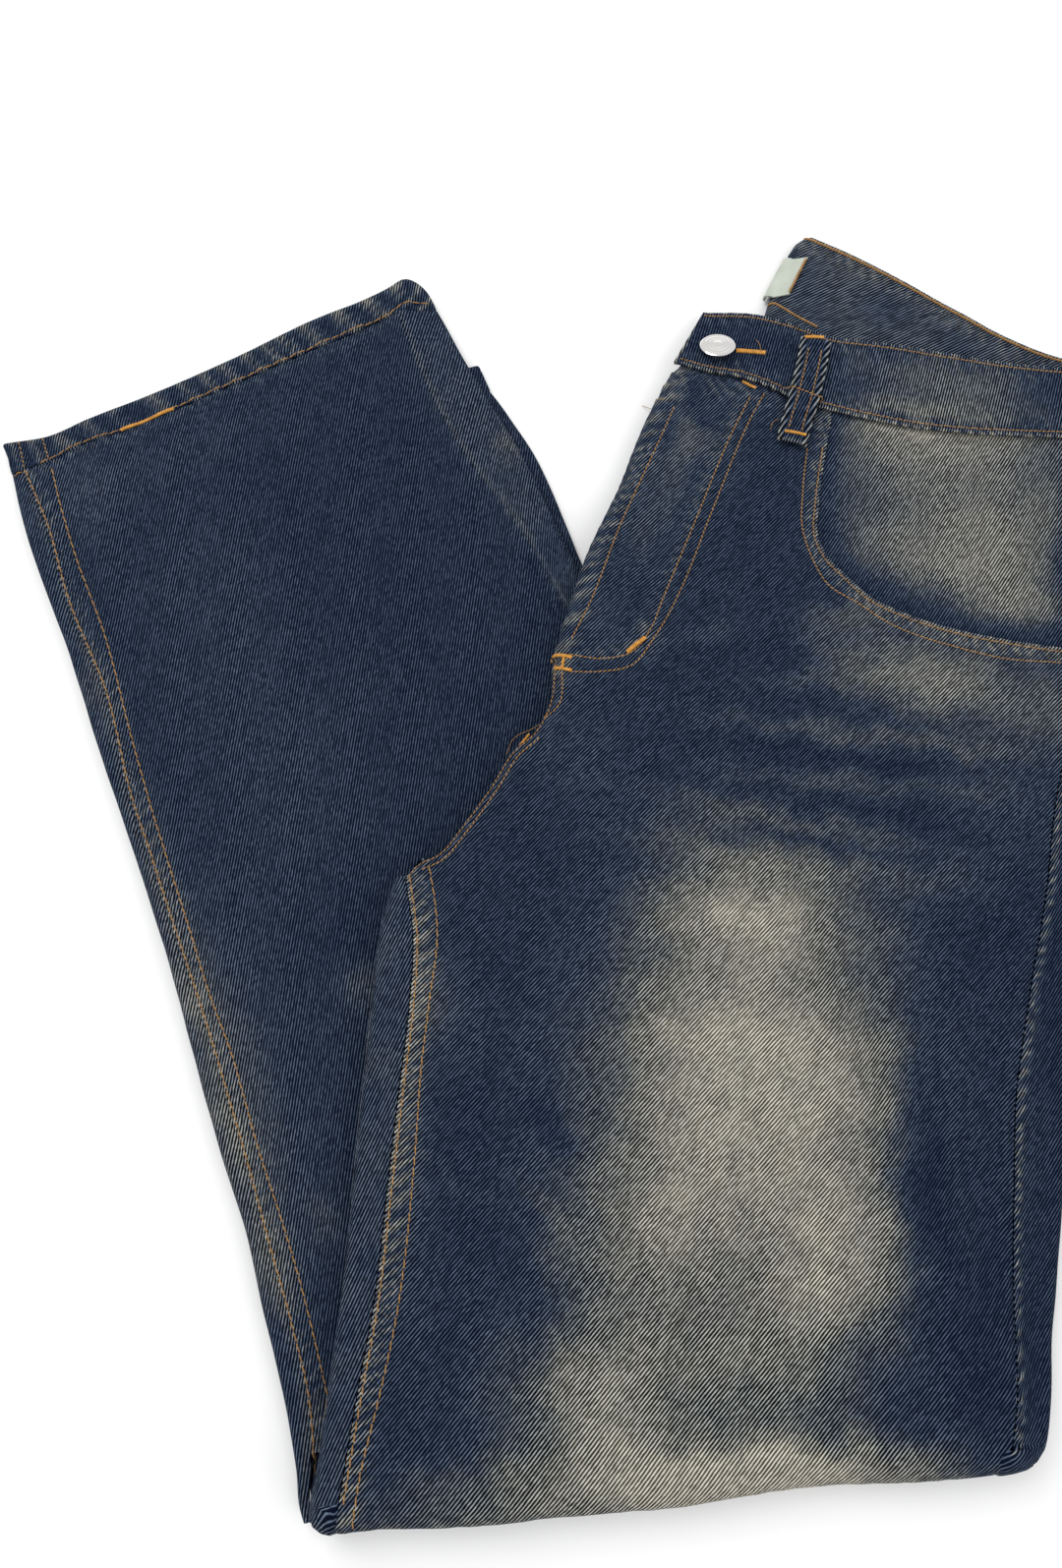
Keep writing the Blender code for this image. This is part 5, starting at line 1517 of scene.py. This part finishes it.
class OBJECT_OT_jeans_lower_leg(JeansOperator, bpy.types.Operator):
    """The right leg below the knee, which lies on top there, with both hems"""
    bl_idname = "object.jeans_lower_leg"
    bl_label = "Lower leg"

    def execute(self, context):
        spacing = context.scene.jeans_denim.spacing / MM
        denim = material_of("denim")
        self.front(spacing, denim)
        self.edge("right_back_lower_inseam", SHIN_INSEAM, SHIN_EDGE, -SEAM_LAP, 0.07,
                  round(SHIN_INSEAM_RUN / spacing), denim)
        self.edge("right_back_lower_side", SHIN_SIDE_SEAM, SHIN_SIDE_EDGE, SEAM_LAP, 0.10,
                  round(SHIN_SIDE_RUN / spacing), denim)
        self.right_hem(spacing, denim)
        self.left_hem(spacing, denim)
        return {"FINISHED"}

    def front(self, spacing, denim):
        hem = between(moved_in(smooth_line(HEM_SEAM, spacing), -0.9), 0, -262.0, -87.5)
        inseam = smooth_line(SHIN_INSEAM, spacing)
        inseam = inseam[inseam[:, 1] > -263] + (0.4, 0)
        side = smooth_line(SHIN_SIDE_SEAM, spacing)
        covered = joined(smooth_line(FLY_EDGE[3:], 5), smooth_line(CROTCH_EDGE, 5),
                         smooth_line(THIGH_EDGE[1:], 5))
        covered = between(moved_in(covered, TUCK, 6), 1, -262, 72)
        outline = joined(inseam, covered[::-1], side[::-1], hem[::-1])
        bands = [(smooth_line(SHIN_INSEAM, FINE_STEP), SEAM_ROWS),
                 (smooth_line(SHIN_STITCH, FINE_STEP), STITCH_ROWS)]
        line = smooth_line(SHIN_INSEAM, 4)

        def relief(places):
            height = fold_height(places, SHIN_CREASES, 0.5) + 0.25 * uneven(places, 24, 5.0)
            height += 0.45 * eased((8 - np.abs(distance_to(places, line))) / 3)
            height += seam_height(places, SHIN_SEAMS)
            return height + groove(places, smooth_line(SHIN_STITCH, 3), 0.0, *STITCH_GROOVE)

        piece = add_piece("right_front_lower_cloth", panel(outline, spacing, shin_top, bands),
                          denim, SHIN_TWILL, shin_wash, partial(seam_rub, seams=SHIN_SEAMS),
                          relief)
        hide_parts("right_front_lower")

    def edge(self, name, seam_table, edge_table, away, tone, count, denim):
        """The right back below the knee, from its seam round the fold and back underneath."""
        seam = spaced(smooth_line(seam_table, 3), count) - (away, 0)
        edge = spaced(smooth_line(edge_table, 3), count)
        inner = moved_in(edge, -SHIN_RADIUS * np.sign(away))
        way = down_leg(edge)
        reach = 5.0 - 4.2 * eased((way - 425) / 25) + 88.0 * (1 - eased((way - 36) / 8))
        shape = rolled(seam, edge, inner, shin_top(edge) - 0.2, shin_floor(edge), reach=reach,
                       level=lambda places: shin_top(places) - 0.2, spacing=EDGE_STEP)
        line = smooth_line(seam_table, 4)

        # tone makes the whole strip paler: painted light on the turned strip, which faces up into
        # the light; the pale line beside the seam is wear
        def worn(places):
            beside = np.abs(distance_to(places, line))
            return tone + 0.12 * np.exp(-((beside - 1.6) / 1.0) ** 2)

        def relief(places):
            beside = np.abs(distance_to(places, line))
            return 0.2 * uneven(places, 20, 2.0) - 0.5 * np.exp(-(beside / 1.0) ** 2)

        piece = add_piece(name + "_cloth", shape, denim, SHIN_TWILL, shin_wash, worn, relief)
        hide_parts(name)

    def right_hem(self, spacing, denim):
        edge = spaced(smooth_line(HEM_EDGE, 2), round(HEM_RUN / spacing))
        seam = spaced(smooth_line(HEM_SEAM, 2), len(edge))
        low = shin_floor(edge)
        line = smooth_line(HEM_EDGE, 3)
        waves = pucker_height()

        def twist(places):
            """Ridges and hollows across the hem, where the turned-up cloth pulls askew."""
            away, along = nearest(places, line)
            along = along - 0.35 * np.abs(away) + 1.2 * uneven(places, 14, 5.0)
            beat = along / 13.0 + 0.40 * np.sin(along / 19) + 0.12 * np.sin(along / 7.3)
            strong = 0.6 + 0.4 * eased((along - 60) / 60)
            return np.sin(2 * math.pi * beat) * strong, np.abs(away)

        def roping(places):
            ridge, away = twist(places)
            return waves * 1.9 * ridge * eased((away + 0.6) / 4.5) * eased((16 - away) / 4)

        def worn(places):
            ridge, away = twist(places)
            patchy = 0.8 + 0.5 * uneven(places, 9, 4.0)
            return (0.16 * np.exp(-(away / 1.6) ** 2)
                    + 0.58 * patchy * np.clip(0.15 + 0.95 * ridge, 0, 1) ** 1.3)

        shape = hem_tube(edge, seam, low, low + RIGHT_SHIN, HEM_WALL)
        piece = add_piece("right_hem_cloth", shape, denim, SHIN_TWILL,
                          lambda places: 0.4 * shin_wash(places), worn, roping, closed=True)
        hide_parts("right_hem")

    def left_hem(self, spacing, denim):
        edge = spaced(smooth_line(LEFT_HEM, 2), round(HEM_RUN / spacing / 1.5))
        shape = hem_tube(edge, edge + LEG_WAY * HEM_DEPTH, np.zeros(len(edge)),
                         np.full(len(edge), LEFT_SHIN - 0.2), LEFT_HEM_WALL)
        piece = add_piece("left_hem_cloth", shape, denim, SHIN_TWILL, shin_wash, closed=True)
        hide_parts("left_hem")


class OBJECT_OT_jeans_waist(JeansOperator, bpy.types.Operator):
    """The waistband's front and back, the pocket facing, the belt loop and the bare label"""
    bl_idname = "object.jeans_waist"
    bl_label = "Waist"

    def execute(self, context):
        spacing = context.scene.jeans_denim.spacing / MM
        denim = material_of("denim")
        self.facing(spacing, denim)
        self.front_band(spacing, denim)
        self.back_band(spacing, denim)
        self.loop(denim)
        self.label()
        return {"FINISHED"}

    def facing(self, spacing, denim):
        opening = moved_in(smooth_line(POCKET_EDGE[1:-1], 4), -9.0, 4)
        side = smooth_line(FACING_SIDE, spacing)
        waist = between(moved_in(smooth_line(WAIST_SEAM[4:9], spacing), WAIST_LAP), 0, 112, 240)
        outline = joined(opening, side, waist[::-1])
        pocket = smooth_line(POCKET_EDGE, 4)

        def relief(places):
            return fold_height(places, FACING_CREASES, 0.5) + 0.25 * uneven(places, 20, 3.0)

        def wash(places):
            # darker along the pocket's edge: painted shadow under the opening's edge, and unfaded
            # indigo there
            rim = ridge_along(places, pocket, 0, 8)
            return (0.10 + ovals(places, FACING_WASH, 3.0)) * (1 - 0.7 * rim)

        shape = panel(outline, spacing, lambda places: thigh_top(places) - WALL - GAP)
        piece = add_piece("pocket_facing_cloth", shape, denim, FACING_TWILL, wash, None, relief)
        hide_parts("pocket_facing")

    def front_band(self, spacing, denim):
        seam = moved_in(smooth_line(WAIST_SEAM, spacing), 0.6)
        top = smooth_line(BAND_TOP, spacing)
        side = spaced(np.array(BAND_END), 15)
        outline = joined(seam, side, top[::-1])
        first = int(np.argmin(np.linalg.norm(outline - side[0], axis=1)))
        last = first + len(side) - 1
        end = spaced(np.array(BAND_END_LINE), 25)
        way = np.tile((-1.0, 0.0), (len(side), 1))
        low_line = smooth_line(WAIST_SEAM, 3)
        top_line = smooth_line(BAND_TOP, 3)

        def surface(places):
            fallen = rounded_drop(distance_to(places, end), BAND_END_RADIUS, BAND_END_DROP)
            return band_surface(places) - fallen

        def relief(places):
            height = 0.22 * uneven(places, 18, 4.0) + seam_height(places, BAND_SEAMS)
            height += groove(places, low_line, 3.4, 0.9, 0.4)
            height += groove(places, top_line, -2.4, 0.8, 0.3)
            height -= 0.5 * ridge_along(places, low_line, 0, 0.9)
            return height - 0.5 * ridge_along(places, top_line, 0, 0.9)

        bands = [(end, BAND_END_ROWS), (smooth_line(WAIST_SEAM, 2), BAND_LOW_ROWS),
                 (smooth_line(BAND_TOP, 2), BAND_TOP_ROWS)]
        skirt = (first, last, round_under(way, BAND_END_RADIUS, 6.8, 3.0, 6))
        shape = panel(outline, spacing, surface, bands, skirt)
        piece = add_piece("waistband_front_cloth", shape, denim, BAND_TWILL,
                          lambda places: 0.02 + ovals(places, BAND_WASH, 4.0),
                          partial(seam_rub, seams=BAND_SEAMS), relief, BAND_WALL)
        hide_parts("waistband_front")

    def back_band(self, spacing, denim):
        top = smooth_line(BACK_BAND_TOP, spacing)
        fold = smooth_line(BACK_BAND_FOLD, spacing)[::-1]
        under = between(moved_in(smooth_line(BAND_TOP[3:], 4), -8.0), 0, 98, 246)
        outline = joined(fold, under, np.array([BACK_BAND_CORNER]), top[::-1])

        def surface(places):
            return BACK_BAND_HEIGHT - rounded_drop(distance_to(places, fold), BACK_BAND_RADIUS,
                                                   BACK_BAND_HEIGHT / 2)

        def relief(places):
            return 0.3 * uneven(places, 20, 6.0) + seam_height(places, BACK_BAND_SEAMS)

        bands = [(fold, BACK_FOLD_ROWS), (smooth_line(BACK_BAND_TOP, 2), BACK_TOP_ROWS)]
        skirt = (0, len(fold) - 1, round_under(inward(fold, 3), BACK_BAND_RADIUS, 0.0, 6.0, 6))
        shape = panel(outline, spacing, surface, bands, skirt)
        piece = add_piece("waistband_back_cloth", shape, denim, BACK_BAND_TWILL,
                          lambda places: 0.19 + 0.06 * uneven(places, 30, 2.0),
                          partial(seam_rub, seams=BACK_BAND_SEAMS), relief)
        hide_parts("waistband_back")

    def loop(self, denim):
        line = smooth_line(BELT_LOOP, 1.3)
        way = inward(line)
        share = np.linspace(0, 1, len(line))
        coarse = smooth_line(BELT_LOOP, 5)
        base = np.maximum(band_surface(coarse), thigh_top(coarse))
        base = np.where(np.arange(len(coarse)) > len(coarse) - 4, thigh_top(coarse) + 0.4, base)
        base = np.interp(share, np.linspace(0, 1, len(coarse)), base)
        height = base + LOOP_STAND + np.sin(share * math.pi) * LOOP_ARCH
        sides = np.linspace(-1, 1, 15)
        columns = []
        for side in sides:
            rounding = 0.9 * max(0.0, abs(side) - 0.86) / 0.14
            sewn = 0.3 * math.exp(-((abs(side) - 0.62) / 0.1) ** 2)
            level = height - 0.3 * abs(side) - rounding - sewn
            columns.append(np.column_stack([line + way * side * BELT_LOOP_WIDTH / 2, level]))
        grid = np.stack(columns, axis=1)
        shape = (grid.reshape(-1, 3), grid_faces(len(line), len(sides)),
                 grid[..., :2].reshape(-1, 2))

        def worn(places):
            away, along = nearest(places, line)
            return (0.60 * np.exp(-((np.abs(away) - BELT_LOOP_WIDTH / 2) / 1.0) ** 2)
                    + 0.35 * np.exp(-((along - along.max()) / 1.6) ** 2))

        piece = add_piece("belt_loop_cloth", shape, denim, LOOP_TWILL, even(0.06), worn,
                          wall=LOOP_WALL)
        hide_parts("belt_loop")

    def label(self):
        seam = spaced(smooth_line(LABEL_SIDE, 2), 16)[::-1]
        fold = spaced(smooth_line(LABEL_FOLD, 2), 16)[::-1]
        outer = GAP + LABEL_WALL
        top = BACK_BAND_HEIGHT + outer
        shape = rolled(seam, moved_in(fold, -outer, 1), moved_in(fold, BACK_BAND_RADIUS, 1), top,
                       -outer, end=-30.0, level=even(top), spacing=1.5)
        piece = add_piece("label_tape", shape, material_of("label_tape"), None,
                          wall=LABEL_WALL)
        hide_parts("label")


class Threads:
    """Thread that lies on the finished cloth, gathered into one piece."""

    def __init__(self, cloth):
        self.cloth = cloth
        self.points = []
        self.faces = []

    def drop(self, place):
        """Height of the cloth under a place, in millimetres."""
        x, y = (place[0] - TABLE_CENTRE[0]) * MM, (place[1] - TABLE_CENTRE[1]) * MM
        best = 0.0
        for tree in self.cloth:
            hit = tree.ray_cast(Vector((x, y, RAY_HEIGHT)), Vector((0, 0, -1)))[0]
            if hit is not None:
                best = max(best, hit.z / MM)
        return best

    def row(self, line, pitch, stitch, thickness):
        """Stitches along a line, each a little askew, left out where the cloth ends."""
        run = np.linalg.norm(np.diff(line, axis=0), axis=1).sum()
        count = int(run // pitch)
        even = spaced(line, max(2, count * 8 + 1))
        for k in range(count):
            first = even[k * 8]
            last = even[min(k * 8 + 8, len(even) - 1)]
            way = (last - first) / np.linalg.norm(last - first)
            middle = (first + last) / 2
            half = stitch / 2
            lean = np.array((-way[1], way[0])) * STITCH_LEAN
            ends = [middle - way * half - lean, middle + way * half + lean]
            ends = [np.array((*place, self.drop(place))) for place in ends]
            if min(ends[0][2], ends[1][2]) < WALL:
                continue
            lift = max(0.0, self.drop(middle) - (ends[0][2] + ends[1][2]) / 2)
            self.length(ends[0], ends[1], thickness / 2, lift=lift)

    def tack(self, start, stop, width):
        """A bar of close stitches across a line."""
        run = stop - start
        size = np.linalg.norm(run)
        way = run / size
        side = np.array((-way[1], way[0])) * width / 2
        for k in range(round(size / TACK_STEP) + 1):
            middle = start + way * TACK_STEP * k
            lean = way * (TACK_LEAN if k % 2 else -TACK_LEAN)
            ends = [middle - side - lean, middle + side + lean]
            height = max(self.drop(ends[0]), self.drop(ends[1]), self.drop(middle))
            self.length(*(np.array((*end, height + TACK_LIFT)) for end in ends), TACK_RADIUS)

    def length(self, start, stop, radius, dips=True, lift=0.0):
        """A short length of thread that dips into the cloth at both ends."""
        run = stop - start
        size = np.linalg.norm(run)
        run = run / size
        side = np.cross(run, (0, 0, 1))
        side /= np.linalg.norm(side)
        up = np.cross(side, run)
        first = len(self.points)
        for along, share, rise in STITCH_RINGS:
            if not dips:
                share, rise = 0.9, 0.0
            bulge = lift if 0 < along < 1 else 0.0
            centre = start + run * size * along + up * (radius * rise + bulge)
            for k in range(THREAD_SIDES):
                angle = 2 * math.pi * k / THREAD_SIDES
                self.points.append(centre + (side * math.cos(angle) + up * math.sin(angle))
                                   * radius * share)
        last = len(STITCH_RINGS) - 1
        for ring in range(last):
            for k in range(THREAD_SIDES):
                n = (k + 1) % THREAD_SIDES
                a, b = first + ring * THREAD_SIDES, first + (ring + 1) * THREAD_SIDES
                self.faces.append((a + k, b + k, b + n, a + n))
        self.faces.append(tuple(first + k for k in range(THREAD_SIDES)))
        self.faces.append(tuple(first + last * THREAD_SIDES + k
                                for k in reversed(range(THREAD_SIDES))))

    def finish(self, name, material):
        """Makes the gathered thread one named object."""
        mesh = bpy.data.meshes.new(name)
        mesh.from_pydata(on_table(np.array(self.points)), [], self.faces)
        mesh.update()
        mesh.shade_smooth()
        mesh.materials.append(material)
        added(name, mesh)


class OBJECT_OT_jeans_sewing(JeansOperator, bpy.types.Operator):
    """Rows of stitches that lie on the finished cloth"""
    bl_idname = "object.jeans_sewing"
    bl_label = "Sewing"

    def execute(self, context):
        cloth = [self.tree(piece.data) for piece in PIECES.values()]
        ochre = material_of("ochre_thread")
        for name, groups in self.rows(context.scene.jeans_sewing).items():
            threads = Threads(cloth)
            for (pitch, stitch, thickness), lines in groups:
                for line in lines:
                    threads.row(line, pitch, stitch, thickness)
            threads.finish(name, ochre)
        threads = Threads(cloth)
        for x1, y1, x2, y2, width in TACKS:
            threads.tack(np.array((x1, y1), float), np.array((x2, y2), float), width)
        threads.finish("bartacks", material_of("orange_tack_thread"))
        threads = Threads(cloth)
        for strand in LOOSE_THREADS:
            line = smooth_line(strand, 0.8)
            line[:, 2] += [threads.drop(place) for place in line[:, :2]]
            for start, stop in zip(line, line[1:]):
                threads.length(start, stop + (stop - start) * 0.2, LOOSE_RADIUS, dips=False)
        threads.finish("loose_threads", ochre)
        return {"FINISHED"}

    def tree(self, mesh):
        """A finished piece's triangles, to lay thread on."""
        corner = np.empty(len(mesh.vertices) * 3)
        mesh.vertices.foreach_get("co", corner)
        mesh.calc_loop_triangles()
        three = np.empty(len(mesh.loop_triangles) * 3, np.int32)
        mesh.loop_triangles.foreach_get("vertices", three)
        return BVHTree.FromPolygons(corner.reshape(-1, 3).tolist(), three.reshape(-1, 3).tolist())

    def rows(self, sewing):
        """For each piece of sewing: kinds of stitch, and the lines that they follow."""
        size = sewing.thickness / MM
        short = ((sewing.stitch + sewing.gap) / MM, sewing.stitch / MM, size)
        long = ((sewing.long_stitch + sewing.gap) / MM, sewing.long_stitch / MM, size)

        def fine(line, away=0.0):
            return moved_in(smooth_line(line, 2), away)

        loop = fine(BELT_LOOP)[3:-3]
        return {
            "thigh_stitches": (
                (short, (fine(POCKET_EDGE[1:], -1.8), fine(POCKET_STITCH), fine(FLY_STITCH),
                         fine(FLY_CURVE_INNER), fine(FLY_CURVE_OUTER), fine(CROTCH_EDGE, 1.2),
                         moved_in(fine(CROTCH_EDGE)[18:-4], 4.0), fine(CROTCH_STITCH))),
                (long, (fine(INSEAM, 1.6), fine(INSEAM_STITCH)))),
            "lower_leg_stitches": (
                (short, [fine(line) for line in HEM_CORNER_STITCHES]),
                (long, (fine(SHIN_INSEAM[:-2], 1.6), fine(SHIN_STITCH), fine(HEM_STITCH, 1.1)))),
            "waist_stitches": (
                (short, (fine(WAIST_SEAM, 3.4), fine(BAND_TOP, -2.4),
                         moved_in(loop, 3.1), moved_in(loop, -3.1))),),
            "close_stitches": (
                (CLOSE_STITCH, (fine(BACK_BAND_TOP, -1.6), fine(BACK_BAND_STITCH),
                                fine(LABEL_STITCH))),),
        }


class OBJECT_OT_jeans_cuts(JeansOperator, bpy.types.Operator):
    """Goes through what each piece of cloth was cut to and looks up the pieces sewn on it"""
    bl_idname = "object.jeans_cuts"
    bl_label = "Cloth cuts"

    def execute(self, context):
        for name, width, length, area, slot, under, sewn in CUTS:
            [PIECES[other] for other in sewn]
        return {"FINISHED"}


class OBJECT_OT_jeans_button(JeansOperator, bpy.types.Operator):
    """The domed metal button on the waistband"""
    bl_idname = "object.jeans_button"
    bl_label = "Button"

    def execute(self, context):
        radius = context.scene.jeans_fittings.button / 2
        bpy.ops.object.select_all(action="DESELECT")
        bpy.ops.mesh.primitive_cylinder_add(vertices=BUTTON_SIDES, radius=radius * CAP_SHARE,
                                            depth=CAP_DEPTH)
        piece = context.object
        piece.name = piece.data.name = "button_cap"
        # the cap's face: its rolled rim, then the rings pressed into its dome
        self.pick(piece, 1)
        for rise, share in BUTTON_RIM:
            bpy.ops.mesh.extrude_region_move(TRANSFORM_OT_translate={"value": (0, 0, rise)})
            bpy.ops.transform.resize(value=(share, share, 1))
        for inset, rise in BUTTON_RINGS:
            bpy.ops.mesh.inset(thickness=inset * MM, depth=rise * MM)
        bpy.ops.mesh.poke()
        bpy.ops.object.mode_set(mode="OBJECT")
        # the post under it
        self.pick(piece, -1)
        bpy.ops.mesh.inset(thickness=radius * CAP_SHARE - POST_RADIUS)
        bpy.ops.mesh.extrude_region_move(TRANSFORM_OT_translate={"value": (0, 0, -POST_LENGTH)})
        bpy.ops.object.mode_set(mode="OBJECT")
        bpy.ops.object.shade_smooth_by_angle(angle=math.radians(40))
        piece.location = button_seat()
        piece.rotation_euler = (-math.radians(BUTTON_TILT), 0, math.radians(BUTTON_TURN))
        bpy.ops.object.transform_apply(location=True, rotation=True, scale=True)
        piece.data.materials.append(material_of("button_metal"))
        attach(piece, "root")
        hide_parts("button")
        return {"FINISHED"}

    def pick(self, piece, up):
        """Selects only the faces that look up or down, and goes into edit mode."""
        bpy.ops.object.mode_set(mode="EDIT")
        bpy.ops.mesh.select_mode(type="FACE")
        bpy.ops.mesh.select_all(action="DESELECT")
        bpy.ops.object.mode_set(mode="OBJECT")
        for face in piece.data.polygons:
            face.select = face.normal.z * up > 0.9
        bpy.ops.object.mode_set(mode="EDIT")


class OBJECT_OT_jeans_stage(JeansOperator, bpy.types.Operator):
    """A plain pale floor, soft studio light and the camera"""
    bl_idname = "object.jeans_stage"
    bl_label = "Stage"

    def execute(self, context):
        stage = context.scene.jeans_stage
        look = Finish("floor_paper")
        tint = tuple(stage.floor)
        tints = [(0.3, blended(FLOOR_SHADE, tint, 0.9)), (0.7, tint)]
        look.feed(look.shader["Base Color"], look.ramp(look.noise(look.place(), 3), tints))
        look.feed(look.shader["Roughness"], 0.9)
        corners = [(x * FLOOR_REACH, y * FLOOR_REACH, -FLOOR_DROP)
                   for x, y in ((-1, -1), (1, -1), (1, 1), (-1, 1))]
        mesh = bpy.data.meshes.new("floor")
        mesh.from_pydata(corners, [], [(0, 1, 2, 3)])
        mesh.materials.append(look.material)
        floor = bpy.data.objects.new("floor", mesh)
        context.scene.collection.objects.link(floor)
        for name, place, width, share in LAMPS:
            light = bpy.data.lights.new(name, "AREA")
            light.size = width
            light.energy = stage.key * share
            lamp = bpy.data.objects.new(name, light)
            lamp.location = place
            lamp.rotation_euler = (-Vector(place)).to_track_quat("-Z", "Y").to_euler()
            context.scene.collection.objects.link(lamp)
        world = bpy.data.worlds.new("room_light")
        world.use_nodes = True
        sky = world.node_tree.nodes["Background"].inputs
        sky["Color"].default_value = (1, 1, 1, 1)
        sky["Strength"].default_value = stage.sky
        context.scene.world = world
        context.scene.view_settings.view_transform = "Standard"
        view = bpy.data.cameras.new("photo_view")
        view.sensor_fit = "VERTICAL"
        view.sensor_height = SENSOR_HEIGHT
        view.lens = CAMERA_LENS
        view.clip_start = NEAREST_SEEN
        camera = bpy.data.objects.new("photo_view", view)
        camera.location = CAMERA_PLACE
        camera.rotation_euler = (math.radians(CAMERA_TILT), 0, 0)
        context.scene.collection.objects.link(camera)
        context.scene.camera = camera
        return {"FINISHED"}


class VIEW3D_PT_jeans(bpy.types.Panel):
    """Lists the steps that dress the jeans"""
    bl_idname = "VIEW3D_PT_jeans"
    bl_label = "Folded jeans"
    bl_space_type = "VIEW_3D"
    bl_region_type = "UI"
    bl_category = "Jeans"

    def draw(self, context):
        for group in SETTINGS:
            box = self.layout.box()
            settings = getattr(context.scene, group)
            for name in settings.__annotations__:
                box.prop(settings, name)
        for operator in OPERATORS:
            self.layout.operator(operator.bl_idname)


SETTINGS = {"jeans_denim": DenimSettings, "jeans_sewing": SewingSettings,
            "jeans_fittings": FittingSettings, "jeans_stage": StageSettings}
OPERATORS = (OBJECT_OT_jeans_materials, OBJECT_OT_jeans_thigh, OBJECT_OT_jeans_lower_leg,
             OBJECT_OT_jeans_under, OBJECT_OT_jeans_waist, OBJECT_OT_jeans_sewing,
             OBJECT_OT_jeans_cuts, OBJECT_OT_jeans_button, OBJECT_OT_jeans_stage)


def register():
    for name, group in SETTINGS.items():
        bpy.utils.register_class(group)
        setattr(bpy.types.Scene, name, bpy.props.PointerProperty(type=group))
    for item in (*OPERATORS, VIEW3D_PT_jeans):
        bpy.utils.register_class(item)


def unregister():
    for item in (VIEW3D_PT_jeans, *reversed(OPERATORS)):
        bpy.utils.unregister_class(item)
    for name, group in SETTINGS.items():
        delattr(bpy.types.Scene, name)
        bpy.utils.unregister_class(group)


def main():
    register()
    for operator in OPERATORS:
        group, name = operator.bl_idname.split(".")
        getattr(getattr(bpy.ops, group), name)()


if __name__ == "__main__":
    main()
